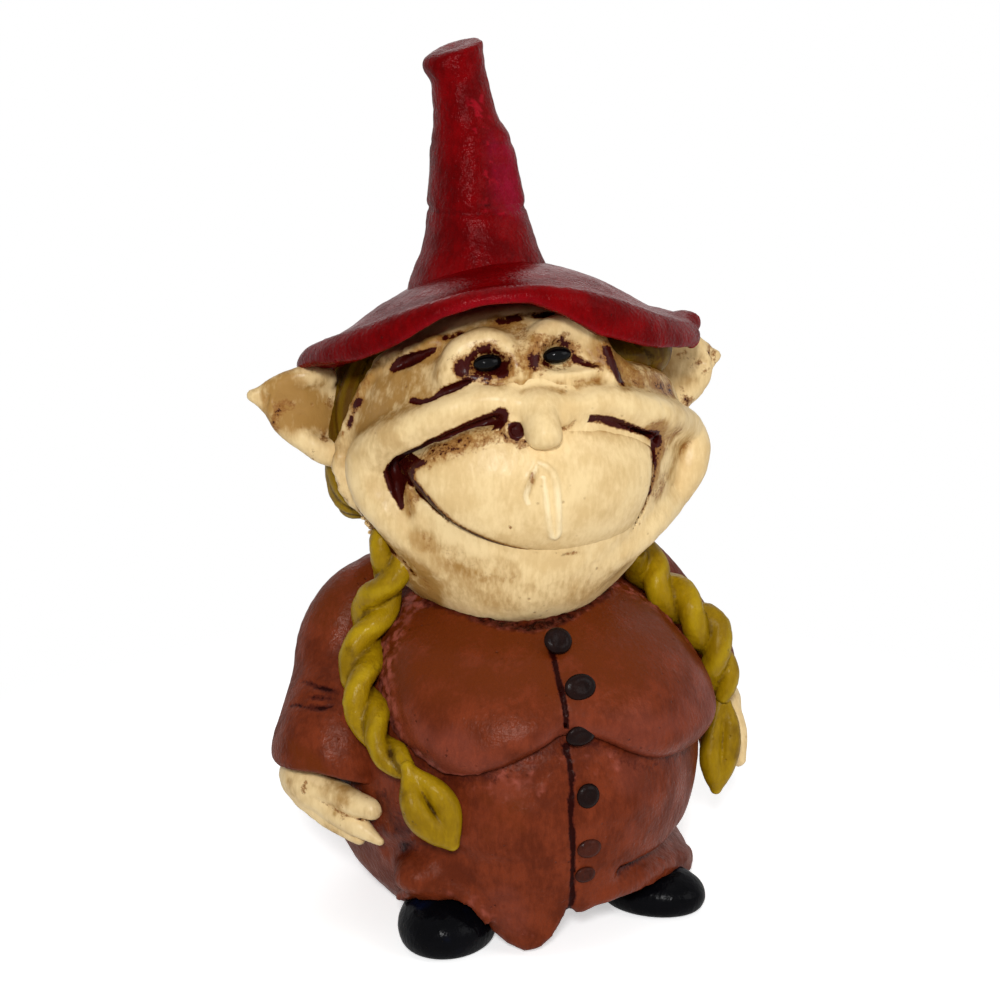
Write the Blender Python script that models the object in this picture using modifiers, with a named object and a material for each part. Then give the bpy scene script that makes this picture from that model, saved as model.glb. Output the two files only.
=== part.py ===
"""Painted goblin woman figurine about 200 mm tall, with a pointed red hat, two twisted braids and a buttoned coat.

It is built the way a modeller presses such a figure together in clay before it is cast: masses are merged into a
coat, a head of hair, a face and so on, and each further piece is cut to the pieces it is pressed on, with a thin glue
line between them. The figure faces -Y and stands on z = 0. Sizes are in millimetres unless a name says otherwise."""

import math

import bmesh
import bpy
from mathutils import Matrix, Vector
from mathutils.bvhtree import BVHTree

MM = 0.001
GLUE_LINE = 0.3  # gap between a piece and what it is pressed on

# Coat
COAT_HEIGHT = 81
COAT_HALF_WIDTH = 44.5
COAT_FRONT = 55.5  # from the middle to the belly
COAT_BACK = 40
COAT_SHIFT = 1.5  # of the coat's middle to the figure's left
HEM_LIFT = 8  # of the hem over the shoes
FLAP_TURN = -15  # direction of the pointed front flap, degrees from straight ahead
SEAM_WIDTH = 1.1
SEAM_DEPTH = 0.8

# Shoes
SHOE_HALF_WIDTH = 10.3
SHOE_HALF_LENGTH = 13.5
SHOE_HEIGHT = 12.5
SHOE_TURNS = {"right": -30, "left": 48}  # direction of each shoe from straight ahead, degrees
SHOE_PLACES = {"right": (-0.508, -0.605), "left": (0.643, -0.562)}  # middle of each shoe, in shares of the coat

# Head: the half sizes of the ball that the features are laid out on
HEAD_RISE = 31  # of the ball's middle above the coat's top
HEAD_HALF_WIDTH = 39.5
HEAD_HALF_DEPTH = 35.5
HEAD_HALF_HEIGHT = 34
HEAD_TURN = -5  # to the figure's right, degrees
HAIR_SHIFT = 7  # of the hair ball behind the face ball
HAIR_COVER = 1  # by which the hair ball is wider than the face ball
SIDE_HAIR_RADII = (7.6, 11, 15)
NAPE_RADII = (29, 19, 21)

# Face
FACE_RADII = (39.5, 36, 40)
JAW_RADII = (30, 23.5, 22.5)
CHIN_RADII = (15, 9.5, 8.5)
BROW_RADII = (15, 7.5, 7.5)
CHEEK_RADIUS = 6.5
EYELID_RADIUS = 2.6
EYE_HALF_WIDTH = 3
EYE_HALF_HEIGHT = 1.7
CREASE_RADIUS = 1.5
CREASE_DEPTH = 1.4
FACE_WALL = 5  # of face left between the hair and the lip
LIP_RADII = (34, 25, 24)
NOSE_TIP_RADIUS = 3.8
NOSE_BRIDGE_RADIUS = 4.2
NOSTRIL_RADIUS = 2.5
EAR_LENGTH = 18
EAR_HALF_HEIGHT = 7
EAR_THICKNESS = 4.5
EAR_TIP_RADIUS = 1.4

# Bust
BUST_THICKNESS = 7.6
BUST_ROOT = 6  # of the bust's rim, sunk into the coat
VALLEY_DEPTH = 2  # between the breasts
VALLEY_HALF_WIDTH = 4.5

# Hat
BRIM_HALF_WIDTH = 47
BRIM_HALF_DEPTH = 38.5
BRIM_THICKNESS = 9  # where it is thickest
BRIM_RISE = 36.2  # of the brim's top above the middle of the head
SIDE_DROOP = 27.6  # of the brim's ends below its middle
SIDE_FLARE = 9.6  # by which the very ends turn up again
BACK_TILT = 6
BACK_DROOP = 7
BRIM_TWIST = 5.2  # lift of the left end behind and of the right end in front
CROWN_HEIGHT = 48
CROWN_FOOT_RADIUS = 15.6
CROWN_TIP_RADIUS = 6.2
CROWN_SINK = 4  # of the crown's foot into the brim
CROWN_LEAN = 6  # of the crown's tip behind the middle of the head
CROWN_TOP_TILT = 17  # of its flat top, degrees
KNOB_RADIUS = 3.3

# Sleeves and hands
CUFF_RADIUS = {"right": 15, "left": 12.8}
CUFF_DEPTH = 5  # of the hollow in the cuff
CUFF_MOUTHS = {"right": Vector((6, 0, -5)), "left": Vector((1, 0, -4))}  # of each hollow from the cuff's edge
PALM_RADII = (7.5, 8, 6.5)
FINGER_RADIUS = 2.8

# Braids
STRAND_RADIUS = 3.1
STRAND_ORBIT = 2.3  # of each strand about the middle of the braid
TURN_LENGTH = 27  # of braid per full turn of its strands
TUFT_RADIUS = 5

# Buttons
BUTTON_RADIUS = 2.7
BUTTON_HEIGHT = 1.5

# Painted colours, linear RGB, and roughness
RED = (0.34, 0.004, 0.008)
CREAM = (0.78, 0.60, 0.36)
OLIVE = (0.17, 0.11, 0.012)
MUSTARD = (0.42, 0.27, 0.01)
BRICK = (0.21, 0.045, 0.025)
BLACK = (0.008, 0.007, 0.007)
DARK_BROWN = (0.035, 0.012, 0.008)
SATIN = 0.42
GLOSS = 0.18

BODY = Matrix.Identity(4)
HEAD = Matrix.Rotation(math.radians(HEAD_TURN), 4, "Z")
HEAD_MIDDLE = Vector((1, -4, COAT_HEIGHT + HEAD_RISE))
HEAD_HALVES = (HEAD_HALF_WIDTH, HEAD_HALF_DEPTH, HEAD_HALF_HEIGHT)


def start_scene():
    """An empty scene with one collection for the pieces and one for the cutters."""
    for obj in list(bpy.data.objects):
        bpy.data.objects.remove(obj)
    pieces = bpy.data.collections.new("goblin_figurine")
    cutters = bpy.data.collections.new("cutters")
    for collection in (pieces, cutters):
        bpy.context.scene.collection.children.link(collection)
    return pieces, cutters


PIECES, CUTTERS = start_scene()
WHOLE = {}  # each piece's mesh before it was cut, by piece name


def finish(name, colour, roughness):
    """A painted finish."""
    made = bpy.data.materials.new(name)
    made.use_nodes = True
    shader = made.node_tree.nodes["Principled BSDF"]
    shader.inputs["Base Color"].default_value = (*colour, 1)
    shader.inputs["Roughness"].default_value = roughness
    return made


HAT_RED = finish("hat_red", RED, SATIN)
SKIN_CREAM = finish("skin_cream", CREAM, SATIN)
HAIR_OLIVE = finish("hair_olive", OLIVE, SATIN)
BRAID_YELLOW = finish("braid_yellow", MUSTARD, SATIN)
COAT_BRICK = finish("coat_brick", BRICK, SATIN)
SHOE_BLACK = finish("shoe_black", BLACK, GLOSS)
BUTTON_DARK = finish("button_dark", DARK_BROWN, GLOSS)


# Shaping


def evaluated_mesh(obj):
    """The object's mesh with its modifiers applied."""
    bpy.context.view_layer.update()
    graph = bpy.context.evaluated_depsgraph_get()
    return bpy.data.meshes.new_from_object(obj.evaluated_get(graph))


def apply_modifiers(obj):
    """Replaces the object's mesh with the evaluated one."""
    mesh = evaluated_mesh(obj)
    obj.modifiers.clear()
    obj.data = mesh
    return obj


def new_piece(name, mesh, paint):
    """A named piece in the figurine's collection."""
    piece = bpy.data.objects.new(name, mesh)
    PIECES.objects.link(piece)
    piece.data.materials.clear()
    piece.data.materials.append(paint)
    return piece


def new_cutter(name, mesh):
    """A hidden object that only cuts others."""
    cutter = bpy.data.objects.new(name, mesh)
    CUTTERS.objects.link(cutter)
    cutter.hide_render = True
    cutter.display_type = "WIRE"
    return cutter


def ball(centre, radii, tilt=(0, 0, 0), segments=32, rings=20, frame=BODY):
    """Mesh of a squashed ball, tilted by degrees about X, Y and Z."""
    mesh = bpy.data.meshes.new("ball")
    work = bmesh.new()
    turn = Matrix.Rotation(math.radians(tilt[2]), 4, "Z") @ Matrix.Rotation(math.radians(tilt[1]), 4, "Y")
    turn = turn @ Matrix.Rotation(math.radians(tilt[0]), 4, "X")
    place = frame @ Matrix.Translation(centre) @ turn @ Matrix.Diagonal((*radii, 1))
    bmesh.ops.create_uvsphere(work, u_segments=segments, v_segments=rings, radius=1,
                              matrix=Matrix.Scale(MM, 4) @ place)
    work.to_mesh(mesh)
    work.free()
    return mesh


def limb(stations, steps=4, sides=3):
    """Mesh of a tapering round rod through stations of a place and a radius, with welded caps."""
    data = bpy.data.curves.new("limb", "CURVE")
    data.dimensions = "3D"
    data.bevel_depth = MM
    data.bevel_resolution = sides
    data.resolution_u = steps
    data.use_fill_caps = True
    spline = data.splines.new("BEZIER")
    spline.bezier_points.add(len(stations) - 1)
    for point, (place, radius) in zip(spline.bezier_points, stations):
        point.co = Vector(place) * MM
        point.radius = radius
        point.handle_left_type = point.handle_right_type = "AUTO"
    rod = bpy.data.objects.new("limb", data)
    bpy.context.scene.collection.objects.link(rod)
    mesh = evaluated_mesh(rod)
    bpy.data.objects.remove(rod)
    work = bmesh.new()
    work.from_mesh(mesh)
    bmesh.ops.remove_doubles(work, verts=work.verts, dist=0.01 * MM)
    bmesh.ops.recalc_face_normals(work, faces=work.faces)
    work.to_mesh(mesh)
    work.free()
    return mesh


def roll(stations):
    """Masses of a rod of clay with rounded ends."""
    ends = [ball(place, (radius,) * 3, segments=16, rings=10) for place, radius in (stations[0], stations[-1])]
    return [limb(stations), *ends]


def pressed(name, masses, paint, grain, triangles, smoothing=3):
    """One piece of merged clay: the masses are joined, remeshed as one skin, smoothed and thinned out."""
    joined = bpy.data.meshes.new(name)
    work = bmesh.new()
    for mass in masses:
        work.from_mesh(mass)
    work.to_mesh(joined)
    work.free()
    piece = new_piece(name, joined, paint)
    remesh = piece.modifiers.new("merge", "REMESH")
    remesh.mode = "VOXEL"
    remesh.voxel_size = grain * MM
    smooth = piece.modifiers.new("soften", "SMOOTH")
    smooth.factor = 0.5
    smooth.iterations = smoothing
    apply_modifiers(piece)
    thin = piece.modifiers.new("thin", "DECIMATE")
    thin.ratio = min(1, triangles / count_triangles(piece))
    apply_modifiers(piece)
    return piece


def count_triangles(piece):
    piece.data.calc_loop_triangles()
    return len(piece.data.loop_triangles)


def loft(name, rings):
    """Mesh of a skin through closed rings of equally many points, with both ends capped."""
    mesh = bpy.data.meshes.new(name)
    work = bmesh.new()
    made = [[work.verts.new(Vector(point) * MM) for point in ring] for ring in rings]
    for lower, upper in zip(made, made[1:]):
        for i in range(len(lower)):
            j = (i + 1) % len(lower)
            work.faces.new((lower[i], lower[j], upper[j], upper[i]))
    work.faces.new(list(reversed(made[0])))
    work.faces.new(made[-1])
    bmesh.ops.recalc_face_normals(work, faces=work.faces)
    work.to_mesh(mesh)
    work.free()
    return mesh


# Cutting and seating


def triangulate(piece):
    """Splits every face into triangles, so that a seat cut to it fits however it is read later."""
    work = bmesh.new()
    work.from_mesh(piece.data)
    bmesh.ops.triangulate(work, faces=work.faces)
    work.to_mesh(piece.data)
    work.free()
    return piece


def keep_largest(piece):
    """Removes every body of the mesh but the one with most faces, and leaves only triangles."""
    work = bmesh.new()
    work.from_mesh(piece.data)
    bmesh.ops.triangulate(work, faces=work.faces)
    bmesh.ops.remove_doubles(work, verts=work.verts, dist=0.005 * MM)
    bmesh.ops.dissolve_degenerate(work, dist=0.002 * MM, edges=work.edges)
    bmesh.ops.triangulate(work, faces=work.faces)
    left = set(work.faces)
    bodies = []
    while left:
        body, edge = set(), [left.pop()]
        while edge:
            face = edge.pop()
            body.add(face)
            for side in face.edges:
                for other in side.link_faces:
                    if other in left:
                        left.discard(other)
                        edge.append(other)
        bodies.append(body)
    bodies.sort(key=len, reverse=True)
    crumbs = [face for body in bodies[1:] for face in body]
    bmesh.ops.delete(work, geom=crumbs, context="FACES")
    work.to_mesh(piece.data)
    work.free()


def cut(piece, *cutters):
    """Cuts the cutters out of the piece and keeps its largest body, without the crumbs of the cut."""
    for cutter in cutters:
        boolean = piece.modifiers.new("cut_" + cutter.name, "BOOLEAN")
        boolean.operation = "DIFFERENCE"
        boolean.solver = "EXACT"
        boolean.object = cutter
        boolean.use_self = True
    if piece.name not in WHOLE:
        WHOLE[piece.name] = triangulate(piece).data
    apply_modifiers(piece)
    keep_largest(piece)
    return piece


def shaped(piece, *cutters):
    """Cuts the piece before anything is seated on it, so that its neighbours follow the cut too."""
    cut(piece, *cutters)
    WHOLE[piece.name] = piece.data
    return piece


def grown(piece, by=GLUE_LINE):
    """A cutter: the piece as it was before any cut, thicker all round by this much."""
    name = piece.name + ("_seat" if by == GLUE_LINE else "_wall")
    if name in bpy.data.objects:
        return bpy.data.objects[name]
    work = bmesh.new()
    work.from_mesh(WHOLE.get(piece.name, piece.data))
    work.normal_update()
    moved = [v.co + v.normal * by * MM * v.calc_shell_factor() for v in work.verts]
    for vertex, place in zip(work.verts, moved):
        vertex.co = place
    mesh = bpy.data.meshes.new(name)
    work.to_mesh(mesh)
    work.free()
    return new_cutter(name, mesh)


def seat(piece, *neighbours):
    """Cuts the piece to the shape of the neighbours that it is pressed on, less the glue line."""
    return cut(piece, *[grown(other) for other in neighbours])


def front_of(x, z, *bases):
    """Where a line from the front first meets the bases at this x and z, and the outward normal there."""
    graph = bpy.context.evaluated_depsgraph_get()
    hits = []
    for base in bases:
        tree = BVHTree.FromObject(base, graph)
        skin, normal, _, _ = tree.ray_cast(Vector((x, -300, z)) * MM, Vector((0, 1, 0)))
        if skin is not None:
            hits.append((skin / MM, normal))
    return min(hits, key=lambda hit: hit[0].y) if hits else (None, None)


def coat_share(x, y, z):
    """A place in shares of the coat's half width, front depth and height."""
    return Vector((COAT_HALF_WIDTH * x, COAT_FRONT * y, COAT_HEIGHT * z))


def head_place(u, v, w):
    """A place in shares of the head ball's half width, half depth and half height from its middle, turned with it."""
    shares = Vector((u, v, w))
    return HEAD @ (HEAD_MIDDLE + Vector(a * b for a, b in zip(shares, HEAD_HALVES)))


def head_ball(shares, radii, tilt=(0, 0, 0), **options):
    """Mesh of a squashed ball at a place on the head, turned with it."""
    return ball(head_place(*shares), radii, (tilt[0], tilt[1], tilt[2] + HEAD_TURN), **options)


def head_roll(shares_and_radii):
    """Masses of a rod of clay through places on the head."""
    return roll([(head_place(*shares), radius) for shares, radius in shares_and_radii])


# The ground, which flattens whatever reaches below z = 0

block = bmesh.new()
bmesh.ops.create_cube(block, size=1, matrix=Matrix.Translation((0, 0, -0.05)) @ Matrix.Diagonal((0.5, 0.5, 0.1, 1)))
ground_mesh = bpy.data.meshes.new("ground")
block.to_mesh(ground_mesh)
block.free()
GROUND = new_cutter("ground", ground_mesh)


# The coat: a pear-shaped trunk lofted through rings, drawn in under its hem

DIRECTIONS = [-180, -152, -125, -100, -80, -64, -51, -40, -31, -23, -17, -11, -5, 2, 10, 20, 32, 44, 60, 80, 100, 125,
              152]
# height, half width to the right and to the left, front and back of each ring, as shares of the coat's sizes
COAT_RINGS = [
    (0.205, 0.910, 0.890, 0.963, 0.895),
    (0.30, 0.975, 0.995, 0.986, 0.92),
    (0.42, 1.00, 1.025, 1.00, 0.975),
    (0.57, 0.98, 1.005, 0.948, 1.00),
    (0.715, 0.90, 0.912, 0.847, 0.925),
    (0.84, 0.765, 0.773, 0.70, 0.80),
    (0.94, 0.585, 0.585, 0.47, 0.625),
    (1.00, 0.315, 0.315, 0.25, 0.35),
]
HEM = (0.72, 1.02, 0.93, 0.83)
ANKLE = (0.62, 0.72, 0.50, 0.72)
FOOT = (0.60, 0.68, 0.43, 0.71)
# hem height in shares of the lift over the shoes, by degrees from straight ahead
HEM_WAVE = [(-180, 0.1), (-120, 0.12), (-75, 0.12), (-64, 0.16), (-51, 0.9), (-40, 1.6), (-31, 1.78), (-23, 1.0),
            (FLAP_TURN - 2, -0.6), (FLAP_TURN + 4, -0.9), (FLAP_TURN + 10, 0.6), (2, 1.3), (10, 1.45), (20, 1.42),
            (32, 1.25), (44, 0.9), (57, 0.3), (75, 0.15), (180, 0.1)]


def between(table, x):
    """Straight-line reading of a table of pairs."""
    for (x0, y0), (x1, y1) in zip(table, table[1:]):
        if x0 <= x <= x1:
            return y0 + (y1 - y0) * (x - x0) / (x1 - x0)
    return table[-1][1]


def coat_place(degrees, right, left, front, back, height):
    """A place on a ring that is deeper in front than behind. The four sizes are shares of the coat's."""
    angle = math.radians(degrees)
    depth = COAT_FRONT * front if math.cos(angle) > 0 else COAT_BACK * back
    half_width = COAT_HALF_WIDTH * (left if angle > 0 else right)
    return COAT_SHIFT + half_width * math.sin(angle), -depth * math.cos(angle), height


def make_coat():
    rings = [
        [coat_place(d, *FOOT, -5) for d in DIRECTIONS],
        [coat_place(d, *ANKLE, 3 + HEM_LIFT * between(HEM_WAVE, d)) for d in DIRECTIONS],
        [coat_place(d, *HEM, HEM_LIFT * between(HEM_WAVE, d)) for d in DIRECTIONS],
    ]
    for height, *shares in COAT_RINGS:
        rings.append([coat_place(d, *shares, COAT_HEIGHT * height) for d in DIRECTIONS])
    piece = new_piece("coat", loft("coat", rings), COAT_BRICK)
    subdivision = piece.modifiers.new("round", "SUBSURF")
    subdivision.levels = subdivision.render_levels = 1
    apply_modifiers(piece)
    return cut(piece, GROUND)


coat = make_coat()


# The hair: a ball over the skull, gathered at both sides and at the nape

HAIR_RADII = (HEAD_HALF_WIDTH + HAIR_COVER, HEAD_HALF_DEPTH - 1, HEAD_HALF_HEIGHT - 3)
behind = HAIR_SHIFT / HEAD_HALF_DEPTH
hair = pressed("hair", [
    head_ball((0.045, behind, -0.03), HAIR_RADII),
    head_ball((-0.80, 0, -0.33), SIDE_HAIR_RADII, tilt=(0, 10, 0)),
    head_ball((0.88, 0, -0.35), SIDE_HAIR_RADII, tilt=(0, -10, 0)),
    head_ball((0.03, behind + 0.31, -0.65), NAPE_RADII),
], HAIR_OLIVE, grain=2.6, triangles=470)
seat(hair, coat)


# The face: a broad mask with a roll over each cheek, eyelid mounds and a full jaw, round a great upper lip

# places in shares of the head's half sizes, and widths in shares of the cheek radius or of the eyelid radius
CHEEK_RIGHT = [((-0.159, -0.904, 0.341), 0.34), ((-0.294, -0.861, 0.335), 0.42),
               ((-0.452, -0.794, 0.265), 0.49), ((-0.597, -0.695, 0.171), 0.58),
               ((-0.721, -0.571, 0.065), 0.69), ((-0.811, -0.436, -0.065), 0.78),
               ((-0.826, -0.398, -0.194), 0.82), ((-0.796, -0.432, -0.338), 0.77),
               ((-0.728, -0.513, -0.453), 0.71), ((-0.636, -0.591, -0.579), 0.65),
               ((-0.507, -0.644, -0.726), 0.58)]
CHEEK_LEFT = [((0.24, -0.936, 0.285), 0.37), ((0.399, -0.889, 0.297), 0.51), ((0.599, -0.811, 0.224), 0.55),
              ((0.808, -0.657, 0.121), 0.58), ((0.959, -0.442, 0.018), 0.6), ((1.059, -0.291, -0.079), 0.62),
              ((1.097, -0.298, -0.194), 0.62), ((1.057, -0.331, -0.35), 0.62), ((0.962, -0.354, -0.515), 0.55),
              ((0.787, -0.56, -0.618), 0.52), ((0.603, -0.669, -0.735), 0.49), ((0.406, -0.722, -0.832), 0.46)]
FACE_EDGE = [((-0.476, -0.55, 0.671), 0.18), ((-0.61, -0.467, 0.594), 0.18), ((-0.747, -0.28, 0.479), 0.18),
             ((-0.834, -0.237, 0.306), 0.18), ((-0.903, -0.165, 0.118), 0.18), ((-0.96, -0.154, -0.065), 0.2),
             ((-0.981, -0.15, -0.209), 0.2), ((-0.95, -0.153, -0.356), 0.2), ((-0.898, -0.17, -0.453), 0.2),
             ((-0.82, -0.259, -0.541), 0.2), ((-0.759, -0.312, -0.65), 0.2), ((-0.698, -0.315, -0.765), 0.2),
             ((-0.603, -0.325, -0.894), 0.2), ((-0.511, -0.331, -1.015), 0.2), ((-0.448, -0.324, -1.109), 0.18)]
EYELIDS = {
    "right": [((-0.443, -0.72, 0.476), 0.62), ((-0.409, -0.694, 0.571), 0.77),
              ((-0.316, -0.679, 0.682), 0.92), ((-0.204, -0.685, 0.735), 1.0), ((-0.122, -0.728, 0.712), 0.92),
              ((-0.071, -0.791, 0.624), 0.85), ((-0.068, -0.867, 0.497), 0.65)],
    "left": [((0.02, -0.853, 0.535), 0.69), ((0.062, -0.772, 0.668), 0.92), ((0.139, -0.72, 0.744), 1.0),
             ((0.266, -0.685, 0.762), 1.04), ((0.393, -0.678, 0.712), 0.96), ((0.457, -0.723, 0.588), 0.88),
             ((0.473, -0.795, 0.453), 0.77)],
}
EYES = {"right": (-0.222, -0.817, 0.568), "left": (0.162, -0.842, 0.597)}
# outlines seen from the front, across and up in shares of the head's half sizes
MASK = [(-0.537, 0.671), (-0.663, 0.594), (-0.785, 0.479), (-0.868, 0.306), (-0.932, 0.118), (-0.987, -0.065),
        (-1.008, -0.209), (-0.977, -0.356), (-0.927, -0.453), (-0.856, -0.541), (-0.8, -0.65),
        (-0.739, -0.765), (-0.646, -0.894), (-0.554, -1.015), (-0.491, -1.109), (-0.291, -1.221),
        (0.0, -1.274), (0.266, -1.221), (0.418, -1.103), (0.57, -0.941), (0.759, -0.794), (0.873, -0.647),
        (1.025, -0.412), (1.076, -0.103), (1.063, 0.082), (0.987, 0.265), (0.835, 0.471), (0.633, 0.676),
        (0.329, 0.809), (-0.025, 0.868), (-0.329, 0.809)]
LIP = [(-0.729, -0.121), (-0.648, -0.288), (-0.522, -0.435), (-0.337, -0.559), (-0.114, -0.65),
       (0.119, -0.703), (0.354, -0.7), (0.529, -0.606), (0.608, -0.424), (0.648, -0.203), (0.653, -0.059),
       (0.603, 0.044), (0.516, 0.1), (0.403, 0.165), (0.228, 0.218), (0.025, 0.25), (-0.177, 0.229),
       (-0.291, 0.188), (-0.395, 0.159), (-0.522, 0.094), (-0.643, 0.006)]
# places across and up the face, in shares of its half sizes, and widths in shares of the crease radius
CREASES = {
    "smile_right": [((-0.156, 0.253), 0.87), ((-0.202, 0.206), 1.0), ((-0.296, 0.182), 1.0),
                    ((-0.426, 0.129), 0.93), ((-0.55, 0.041), 0.93), ((-0.647, -0.05), 1.13),
                    ((-0.672, -0.153), 1.47), ((-0.67, -0.276), 1.2), ((-0.639, -0.429), 0.6)],
    "smile_left": [((0.306, 0.206), 0.67), ((0.517, 0.147), 0.87), ((0.642, 0.085), 0.93),
                   ((0.733, 0.006), 0.8), ((0.789, -0.118), 0.67), ((0.797, -0.265), 0.6)],
    "temple_slot": [((-0.614, 0.482), 0.73), ((-0.55, 0.532), 0.87), ((-0.487, 0.579), 0.73)],
    "crows_foot": [((-0.578, 0.315), 0.53), ((-0.505, 0.326), 0.67), ((-0.438, 0.376), 0.67),
                   ((-0.347, 0.429), 0.47)],
}


def kept(mass, outline, near, far):
    """Mesh of what a mass leaves inside an outline, seen from the front, between two distances from the middle."""
    places = [(HEAD_MIDDLE.x + u * HEAD_HALF_WIDTH, HEAD_MIDDLE.z + w * HEAD_HALF_HEIGHT) for u, w in outline]
    prism = new_cutter("outline", loft("outline", [[(x, y, z) for x, z in places] for y in (near, far)]))
    block = new_cutter("block", mass)
    boolean = block.modifiers.new("keep", "BOOLEAN")
    boolean.operation = "INTERSECT"
    boolean.solver = "EXACT"
    boolean.object = prism
    mesh = evaluated_mesh(block)
    for used in (block, prism):
        bpy.data.objects.remove(used)
    return mesh


face = pressed("face", [
    kept(head_ball((0.063, 0, -0.118), FACE_RADII), MASK, -60, 60),
    kept(head_ball((-0.54, -0.05, -0.25), (17.5, 5, 25)), MASK, -60, 60),
    head_ball((0.01, -0.28, -0.62), JAW_RADII),
    head_ball((0.0, -0.577, -0.956), CHIN_RADII),
    head_ball((-0.046, -0.653, 0.485), BROW_RADII),
    *head_roll([(place, share * CHEEK_RADIUS) for place, share in CHEEK_RIGHT]),
    *head_roll([(place, share * CHEEK_RADIUS) for place, share in CHEEK_LEFT]),
    *head_roll([(place, share * CHEEK_RADIUS) for place, share in FACE_EDGE]),
    *head_roll([(place, share * EYELID_RADIUS) for place, share in EYELIDS["right"]]),
    *head_roll([(place, share * EYELID_RADIUS) for place, share in EYELIDS["left"]]),
], SKIN_CREAM, grain=1.5, triangles=1150, smoothing=1)
muzzle = pressed("muzzle", [
    kept(head_ball((0.027, -0.391, -0.235), LIP_RADII), LIP, -60, -12),
], SKIN_CREAM, grain=1.2, triangles=290, smoothing=3)
shaped(muzzle, grown(hair, FACE_WALL))
for crease_name, stations in CREASES.items():
    fold = []
    for (u, w), width in stations:
        place = head_place(u, -1, w)
        place.y = front_of(place.x, place.z, face)[0].y + width * CREASE_RADIUS - CREASE_DEPTH
        fold.append((place, width * CREASE_RADIUS))
    cut(face, new_cutter(crease_name, limb(fold, steps=2, sides=1)))
seat(face, coat, hair, muzzle)


# The bust: a slab with two low breasts, laid over the coat below the chin

# the rim's places across and up, in shares of the coat's half width and height
BUST_RIM = [(-0.458, 0.941),
            (-0.58, 0.906), (-0.683, 0.844), (-0.753, 0.768), (-0.764, 0.691), (-0.744, 0.622), (-0.681, 0.58),
            (-0.6, 0.551), (-0.494, 0.543), (-0.382, 0.56), (-0.24, 0.591), (-0.115, 0.622), (-0.025, 0.642),
            (0.076, 0.635), (0.148, 0.625), (0.256, 0.593), (0.351, 0.563), (0.461, 0.536), (0.604, 0.519),
            (0.804, 0.509), (0.966, 0.519), (1.038, 0.57), (1.025, 0.637), (0.971, 0.696), (0.91, 0.747),
            (0.816, 0.809), (0.694, 0.87), (0.506, 0.928), (0.337, 0.931), (0.211, 0.919), (0.081, 0.904),
            (-0.031, 0.896), (-0.139, 0.901), (-0.236, 0.914), (-0.324, 0.928)]
BUST_MIDDLE = (0.11, 0.72)
# how far each ring of places lies from the middle, and how thick the bust is there, as shares
BUST_RINGS = [(1.0, 0.0), (0.975, 0.42), (0.92, 0.66), (0.80, 0.87), (0.60, 0.98), (0.30, 1.0)]
# thickness over the coat by height, in shares
BUST_SWELL = [(0.0, 0.8), (0.52, 0.84), (0.60, 0.95), (0.69, 1.0), (0.765, 0.95), (0.84, 0.74), (0.94, 0.37), (1.2, 0.3)]


def coat_skin(x, z, above=0.0):
    """A place over the front of the coat's rings at this x and z, this far out along the skin's normal."""
    def share_at(place):
        _, right, left, front, _ = (between(column, place.z / COAT_HEIGHT) for column in columns)
        half_width = COAT_HALF_WIDTH * (left if place.x > COAT_SHIFT else right)
        return math.hypot((place.x - COAT_SHIFT) / half_width, place.y / (COAT_FRONT * front))

    columns = [[(ring[0], ring[i]) for ring in COAT_RINGS] for i in range(5)]
    low, high = -1.2 * COAT_FRONT, 0.0
    for _ in range(24):
        middle = 0.5 * (low + high)
        low, high = (middle, high) if share_at(Vector((x, middle, z))) > 1 else (low, middle)
    skin = Vector((x, min(low, -0.12 * COAT_FRONT), z))
    slope = Vector([share_at(skin + step) - share_at(skin - step) for step in Matrix.Identity(3)])
    return skin + slope.normalized() * above


def bust_ring(reach, fullness):
    """Places round the bust, this share of the way out from its middle to its rim."""
    ring = []
    for across, up in BUST_RIM:
        x = COAT_HALF_WIDTH * (BUST_MIDDLE[0] + (across - BUST_MIDDLE[0]) * reach)
        z = COAT_HEIGHT * (BUST_MIDDLE[1] + (up - BUST_MIDDLE[1]) * reach)
        swell = BUST_THICKNESS * between(BUST_SWELL, z / COAT_HEIGHT)
        swell -= VALLEY_DEPTH * math.exp(-((x + 0.6) / VALLEY_HALF_WIDTH) ** 2) * (z < 0.75 * COAT_HEIGHT)
        ring.append(coat_skin(x, z, fullness * swell))
    return ring


root = [place + Vector((0, BUST_ROOT, 0)) for place in bust_ring(0.97, 0)]
slab = loft("bust", [root] + [bust_ring(reach, fullness) for reach, fullness in BUST_RINGS])
bust = pressed("bust", [slab], COAT_BRICK, grain=1.5, triangles=440, smoothing=3)
seat(bust, coat, hair, face)


# The nose droops over the lip, and the eyes are beads under the eyelids

nose = pressed("nose", [
    *head_roll([((0.043, -0.95, 0.276), NOSE_BRIDGE_RADIUS), ((0.051, -1.022, 0.176),
                                                           NOSE_TIP_RADIUS), ((0.06, -1.067, 0.112), NOSE_TIP_RADIUS)]),
    *head_roll([((-0.146, -0.934, 0.288), NOSTRIL_RADIUS), ((0.285, -0.926, 0.276), NOSTRIL_RADIUS * 0.9)]),
], SKIN_CREAM, grain=1.1, triangles=240, smoothing=2)
seat(nose, face, muzzle)
for side, place in EYES.items():
    eye = new_piece(side + "_eye", head_ball(place, (EYE_HALF_WIDTH, 2.2, EYE_HALF_HEIGHT), tilt=(0, -6, 0),
                                             segments=12, rings=8), SHOE_BLACK)
    seat(eye, face)


# The ears: pointed and hollowed in front

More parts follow.
